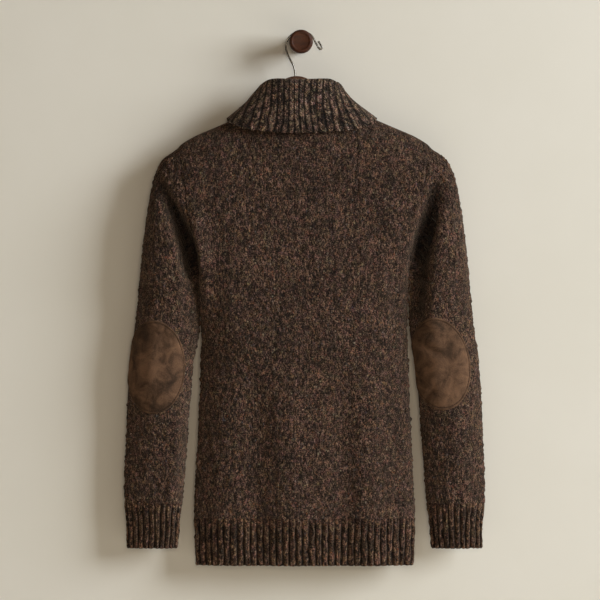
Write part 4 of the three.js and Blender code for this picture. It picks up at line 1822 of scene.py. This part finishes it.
    def stitches(self, side: str) -> bpy.types.Object:
        """The line of small thread stitches, as one piece made of long beads.

        Args:
            side: Name of the arm.

        Returns:
            The stitches.
        """
        count, sides = self.stitch_count, self.bead_sides
        ring = np.linspace(0, 2 * math.pi, count, endpoint=False)
        inset = 1 - self.stitch_inset * 2 / (self.half_width + self.half_height)
        half = 0.3 * 2 * math.pi / count
        ends = [self.over_sleeve(*self.oval(np.full(count, inset), ring + way * half)) for way in (-1, 1)]
        middle = (ends[0][0] + ends[1][0]) / 2
        outward = unit(ends[0][1] + ends[1][1])
        along = unit(ends[1][0] - ends[0][0])
        aside = np.cross(outward, along)
        reach = np.linalg.norm(ends[1][0] - ends[0][0], axis=-1)[:, None] / 2
        bands = len(self.bead) - 1
        points, faces = [], []
        for i in range(count):
            base = len(points)
            for place, girth in self.bead:
                height = self.lift + self.wall - self.seam_depth + self.stitch_crown * (1 - place * place)
                centre = middle[i] + along[i] * place * reach[i] + outward[i] * height
                for step in range(sides):
                    turn = 2 * math.pi * step / sides
                    offset = aside[i] * math.cos(turn) * girth + outward[i] * math.sin(turn) * girth * 0.8
                    points.append((centre + offset) * MM)
            for band in range(bands):
                for step in range(sides):
                    a = base + band * sides + step
                    b = base + band * sides + (step + 1) % sides
                    faces.append((a, b, b + sides, a + sides))
            faces.append(tuple(base + step for step in range(sides))[::-1])
            faces.append(tuple(base + bands * sides + step for step in range(sides)))
        mesh = bpy.data.meshes.new(f"elbow_patch_{side}_stitches")
        mesh.from_pydata([tuple(p) for p in points], [], faces)
        piece = bpy.data.objects.new(mesh.name, mesh)
        bpy.context.collection.objects.link(piece)
        face_outwards(piece)
        smooth(piece, 60)
        return piece


# ---------------------------------------------------------------- hanger, hook and knob


@dataclass
class Hanger:
    """A wishbone hanger of flat wood: a raised neck and two arms along the shoulders.

    Half its outline is cubic curves, each given by its two handles and its end.
    """

    centre_x: float = -7
    y: float = -38
    thickness: float = 13
    bevel: float = 3.0
    half_outline: tuple[tuple[tuple[float, float], ...], ...] = (
        ((18, -54.4), (32, -66), (44, -86)), ((54, -104), (62, -127), (84, -137)),
        ((120, -152), (160, -165), (184, -183)), ((196, -192), (194, -205), (182, -204)),
        ((150, -192), (112, -175), (80, -160)), ((52, -146), (30, -118), (0, -114)),
    )
    top_z: float = -54.4
    steps: int = 12

    def edge(self) -> list[tuple[float, float]]:
        """The whole outline, from its cubic curves.

        Returns:
            Points around it, from the top down the right side and up the left one.
        """
        right = [(0.0, self.top_z)]
        for first, second, end in self.half_outline:
            start = right[-1]
            for t in np.linspace(0, 1, self.steps + 1)[1:]:
                weights = ((1 - t) ** 3, 3 * t * (1 - t) ** 2, 3 * t * t * (1 - t), t**3)
                corners = (start, first, second, end)
                right.append(tuple(sum(w * p[axis] for w, p in zip(weights, corners)) for axis in (0, 1)))
        left = [(-x, z) for x, z in right[-2:0:-1]]
        return right + left

    def build(self, finish: bpy.types.Material) -> bpy.types.Object:
        """Make the hanger from a flat outline, thickened and rounded.

        Args:
            finish: Its material.

        Returns:
            The piece.
        """
        curve = bpy.data.curves.new("hanger_outline", "CURVE")
        curve.dimensions = "2D"
        curve.fill_mode = "BOTH"
        outline = self.edge()
        spline = curve.splines.new("POLY")
        spline.points.add(len(outline) - 1)
        for point, (x, z) in zip(spline.points, outline):
            point.co = (x * MM, z * MM, 0, 1)
        spline.use_cyclic_u = True
        curve.extrude = (self.thickness / 2 - self.bevel) * MM
        curve.bevel_depth = self.bevel * MM
        curve.bevel_resolution = 4
        curve.offset = -self.bevel * MM
        piece = bpy.data.objects.new("hanger_wood", curve)
        bpy.context.collection.objects.link(piece)
        select_only(piece)
        bpy.ops.object.convert(target="MESH")
        piece.rotation_euler = (math.pi / 2, 0, 0)
        piece.location = (self.centre_x * MM, self.y * MM, 0)
        bpy.ops.object.transform_apply(location=True, rotation=True, scale=True)
        face_outwards(piece, merge=0.02)
        smooth(piece, 40)
        piece.data.materials.append(finish)
        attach(piece, "root")
        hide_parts("hanger")
        return piece


@dataclass
class Hook:
    """The wire hook: up from the hanger, over the knob's neck, ending in a small hairpin."""

    y: float = -38
    wire: float = 3.1
    route: tuple[tuple[float, float], ...] = (
        (-9.4, -55.0), (-9.6, -48.6), (-12.2, -37.6), (-17.4, -27.8), (-22.6, -17), (-24.2, -8.8),
        (-23.5, -1.6), (-20.6, 5.6), (-15.4, 11.6), (-8.5, 16), (-0.5, 17.6), (8, 16.2), (15.4, 12),
        (19.4, 7), (22.7, 1), (26, -5), (28.4, -9.2), (31, -11.2), (33.3, -9.4), (32.8, -6.8),
        (30.4, -2.8), (27.8, 1.6),
    )
    steps: int = 8

    def smooth_route(self) -> np.ndarray:
        """The route as a smooth curve through its points.

        Returns:
            Close points along it.
        """
        points = np.array(self.route)
        padded = np.concatenate([[2 * points[0] - points[1]], points, [2 * points[-1] - points[-2]]])
        made = [points[0]]
        for before, here, after, beyond in zip(padded, padded[1:], padded[2:], padded[3:]):
            for t in np.linspace(0, 1, self.steps + 1)[1:]:
                bend = 2 * here + (after - before) * t + (2 * before - 5 * here + 4 * after - beyond) * t * t
                made.append((bend + (3 * here - before - 3 * after + beyond) * t**3) / 2)
        return np.array(made)

    def build(self, finish: bpy.types.Material) -> bpy.types.Object:
        """Make the hook from a curve with a round section.

        Args:
            finish: Its material.

        Returns:
            The piece.
        """
        curve = bpy.data.curves.new("hook_line", "CURVE")
        curve.dimensions = "3D"
        points = self.smooth_route()
        spline = curve.splines.new("POLY")
        spline.points.add(len(points) - 1)
        for spot, (x, z) in zip(spline.points, points):
            spot.co = (x * MM, self.y * MM, z * MM, 1)
        curve.bevel_depth = self.wire / 2 * MM
        curve.bevel_resolution = 5
        curve.use_fill_caps = True
        piece = bpy.data.objects.new("hook_wire", curve)
        bpy.context.collection.objects.link(piece)
        select_only(piece)
        bpy.ops.object.convert(target="MESH")
        face_outwards(piece, merge=0.01)
        smooth(piece, 50)
        piece.data.materials.append(finish)
        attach(piece, "root")
        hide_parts("hook")
        return piece


@dataclass
class Knob:
    """A turned wooden knob on the wall: base, waisted neck and a rounded head.

    Each ring is its radius and its distance from the wall.
    """

    segments: int = 96
    rings: tuple[tuple[float, float], ...] = (
        (14.1, 0), (14.5, 0.5), (14.5, 12), (14.6, 16), (14.9, 21), (15.3, 26), (15.4, 30), (15.4, 40.6),
        (15.9, 42.3), (16.8, 43.8), (17.8, 44.9), (18.6, 46.2), (19, 48), (19.1, 51.5), (19, 54.6),
        (18.7, 56.8), (18, 58.8), (16.9, 60.2), (15.6, 60.9), (14.4, 61), (13.6, 60.7), (13, 60.3),
        (12, 60.1),
    )

    def build(self, finish: bpy.types.Material) -> bpy.types.Object:
        """Turn the knob: a disc on the wall is drawn out ring by ring.

        Args:
            finish: Its material.

        Returns:
            The piece.
        """
        bpy.ops.object.select_all(action="DESELECT")
        radius, depth = self.rings[0]
        bpy.ops.mesh.primitive_circle_add(
            vertices=self.segments, radius=radius * MM, fill_type="NGON",
            location=(0, -depth * MM, 0), rotation=(math.pi / 2, 0, 0),
        )
        piece = bpy.context.object
        piece.name = "knob_turned"
        bpy.ops.object.transform_apply(location=True, rotation=True, scale=True)
        bpy.ops.object.mode_set(mode="EDIT")
        bpy.ops.mesh.select_all(action="SELECT")
        for next_radius, next_depth in self.rings[1:]:
            move = (0, (depth - next_depth) * MM, 0)
            bpy.ops.mesh.extrude_region_move(TRANSFORM_OT_translate={"value": move})
            grow = next_radius / radius
            bpy.ops.transform.resize(value=(grow, 1, grow), center_override=(0, -next_depth * MM, 0))
            radius, depth = next_radius, next_depth
        bpy.ops.object.mode_set(mode="OBJECT")
        face_outwards(piece)
        smooth(piece, 50)
        piece.data.materials.append(finish)
        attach(piece, "root")
        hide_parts("knob")
        return piece


# ---------------------------------------------------------------- studio


@dataclass
class Studio:
    """A pale plaster wall and floor, a soft light high on the right, fills, and the camera."""

    floor_z: float = -2.2
    reach: float = 4.0
    wall_y: float = 0.0004
    middle: tuple[float, float, float] = (0.0, -0.04, -0.42)
    camera_place: tuple[float, float, float] = (-0.0016, -6.0, -0.413)
    lens: float = 223.3
    sensor: float = 36
    cloudy_paint: tuple[float, ...] = paint(222, 215, 203)
    wall_paint: tuple[float, ...] = paint(225, 218, 207)
    air_paint: tuple[float, ...] = paint(255, 236, 212)
    air_strength: float = 0.072

    def plaster(self) -> bpy.types.Material:
        """Matt paint, seen and lit from the room only, so that a view from behind isn't blocked.

        Returns:
            The material.
        """
        material, shader, surface = new_material("studio_plaster")
        place = shader.add("ShaderNodeTexCoord").outputs["Object"]
        cloudy = shader.noise(place, 3.0, 4.0, 0.55).outputs[0]
        colour = shader.blend(shader.between(cloudy, 0.3, 0.7), self.cloudy_paint, self.wall_paint)
        shader.feed(surface.inputs["Base Color"], colour)
        surface.inputs["Roughness"].default_value = 0.95
        surface.inputs["Specular IOR Level"].default_value = 0.1
        path = shader.add("ShaderNodeLightPath").outputs["Is Shadow Ray"]
        behind = shader.add("ShaderNodeNewGeometry").outputs["Backfacing"]
        clear = shader.math("MAXIMUM", path, behind)
        through = shader.add("ShaderNodeBsdfTransparent")
        either = shader.add("ShaderNodeMixShader", {0: clear, 1: surface.outputs[0], 2: through.outputs[0]})
        shader.feed(material.node_tree.nodes["Material Output"].inputs["Surface"], either.outputs[0])
        return material

    def build_room(self) -> None:
        """Make the wall and the floor."""
        plaster = self.plaster()
        for name, place, turn in (
            ("studio_wall", (0, self.wall_y, self.floor_z + self.reach), (math.pi / 2, 0, 0)),
            ("studio_floor", (0, -self.reach, self.floor_z), (0, 0, 0)),
        ):
            bpy.ops.object.select_all(action="DESELECT")
            bpy.ops.mesh.primitive_plane_add(size=2 * self.reach, location=place, rotation=turn)
            plane = bpy.context.object
            plane.name = name
            bpy.ops.object.transform_apply(location=True, rotation=True, scale=True)
            plane.data.materials.append(plaster)

    def add_light(
        self, name: str, place: tuple[float, ...], size: float, power: float, colour: tuple[float, ...]
    ) -> None:
        """Add a square soft light that faces the garment's middle.

        Args:
            name: Its name.
            place: Where it stands.
            size: Side of the square, in metres.
            power: In watts.
            colour: Its tint.
        """
        data = bpy.data.lights.new(name, "AREA")
        data.shape = "SQUARE"
        data.size = size
        data.energy = power
        data.color = colour
        light = bpy.data.objects.new(name, data)
        light.location = place
        away = np.array(place) - np.array(self.middle)
        light.rotation_euler = (
            math.atan2(math.hypot(away[0], away[1]), away[2]), 0, math.atan2(away[0], -away[1]),
        )
        bpy.context.collection.objects.link(light)

    def build(self) -> None:
        """Make the room, the lights and the camera."""
        self.build_room()
        self.add_light("key", (4.9, -2.5, 1.3), 2.8, 420, (0.88, 0.955, 1.0))
        self.add_light("fill", (0.25, -5.6, -0.1), 1.0, 49, (1.0, 0.86, 0.66))
        self.add_light("rear_fill", (0.6, 3.4, 0.2), 2.4, 60, (1.0, 0.98, 0.95))
        world = bpy.data.worlds.new("studio_air")
        world.use_nodes = True
        air = world.node_tree.nodes["Background"]
        air.inputs["Color"].default_value = self.air_paint
        air.inputs["Strength"].default_value = self.air_strength
        bpy.context.scene.world = world
        camera = bpy.data.cameras.new("camera")
        camera.lens = self.lens
        camera.sensor_width = self.sensor
        viewer = bpy.data.objects.new("camera", camera)
        viewer.location = self.camera_place
        viewer.rotation_euler = (math.pi / 2, 0, 0)
        bpy.context.collection.objects.link(viewer)
        bpy.context.scene.camera = viewer
        bpy.context.scene.view_settings.view_transform = "Standard"


# ---------------------------------------------------------------- assembly


def main() -> None:
    """Build the pullover, its hanger, hook and knob, and the studio."""
    logging.basicConfig(level=logging.INFO, format="%(name)s: %(message)s")
    effects = Effects()
    plain = TweedKnit(
        "tweed_plain_knit", paint(13, 8, 7), paint(53, 35, 29), paint(138, 107, 87)
    ).build(effects)
    rib_stitch = {
        "wale": RIB_PITCH, "course": 4.2, "leg_share": 0.78, "unevenness": 1.2, "groove_shade": 0.95,
    }
    ribbed = TweedKnit(
        "tweed_rib_knit", paint(14, 8, 6), paint(65, 44, 34), paint(143, 110, 87), **rib_stitch
    ).build(effects)
    collar_ribbed = TweedKnit(
        "tweed_collar_knit", paint(13, 9, 7), paint(68, 50, 41), paint(166, 136, 115), **rib_stitch
    ).build(effects)
    suede = Suede().build()
    thread = TweedKnit(
        "sewing_thread", paint(40, 28, 20), paint(58, 42, 31), paint(84, 62, 46)
    ).build(effects)
    knob_wood = StainedWood(
        "knob_stain", paint(52, 23, 9), paint(73, 36, 15), grain=(60, 18, 160)
    ).build(effects)
    hanger_wood = StainedWood(
        "hanger_stain", paint(62, 38, 26), paint(104, 70, 48), grain=(18, 60, 160)
    ).build(effects)
    wire = BrightWire().build()
    front = KnitPanel("front", Face.FRONT, columns=101, yoke_rows=60, lower_rows=100, seed=17)
    cloth = {
        "back": KnitPanel("back", Face.BACK).build(plain),
        "front": front.build(plain),
        "hem_rib_back": HemRib("hem_rib_back", Face.BACK).build(ribbed),
        "hem_rib_front": HemRib("hem_rib_front", Face.FRONT, seed=57).build(ribbed),
        "sleeve_left": Sleeve(Hand.LEFT).build(plain),
        "sleeve_right": Sleeve(Hand.RIGHT).build(plain),
        "cuff_left": Cuff(Hand.LEFT).build(ribbed),
        "cuff_right": Cuff(Hand.RIGHT, seed=77).build(ribbed),
        "elbow_patch_left": ElbowPatch(Hand.LEFT, 0.0).build(suede, thread),
        "elbow_patch_right": ElbowPatch(Hand.RIGHT, 0.19).build(suede, thread),
        "collar": Collar().build(collar_ribbed),
    }
    hard = (Hanger().build(hanger_wood), Hook().build(wire), Knob().build(knob_wood))
    for piece in (*cloth.values(), *hard):
        log.info("%s: %d faces", piece.name, len(piece.data.polygons))
    Studio().build()


if __name__ == "__main__":
    main()
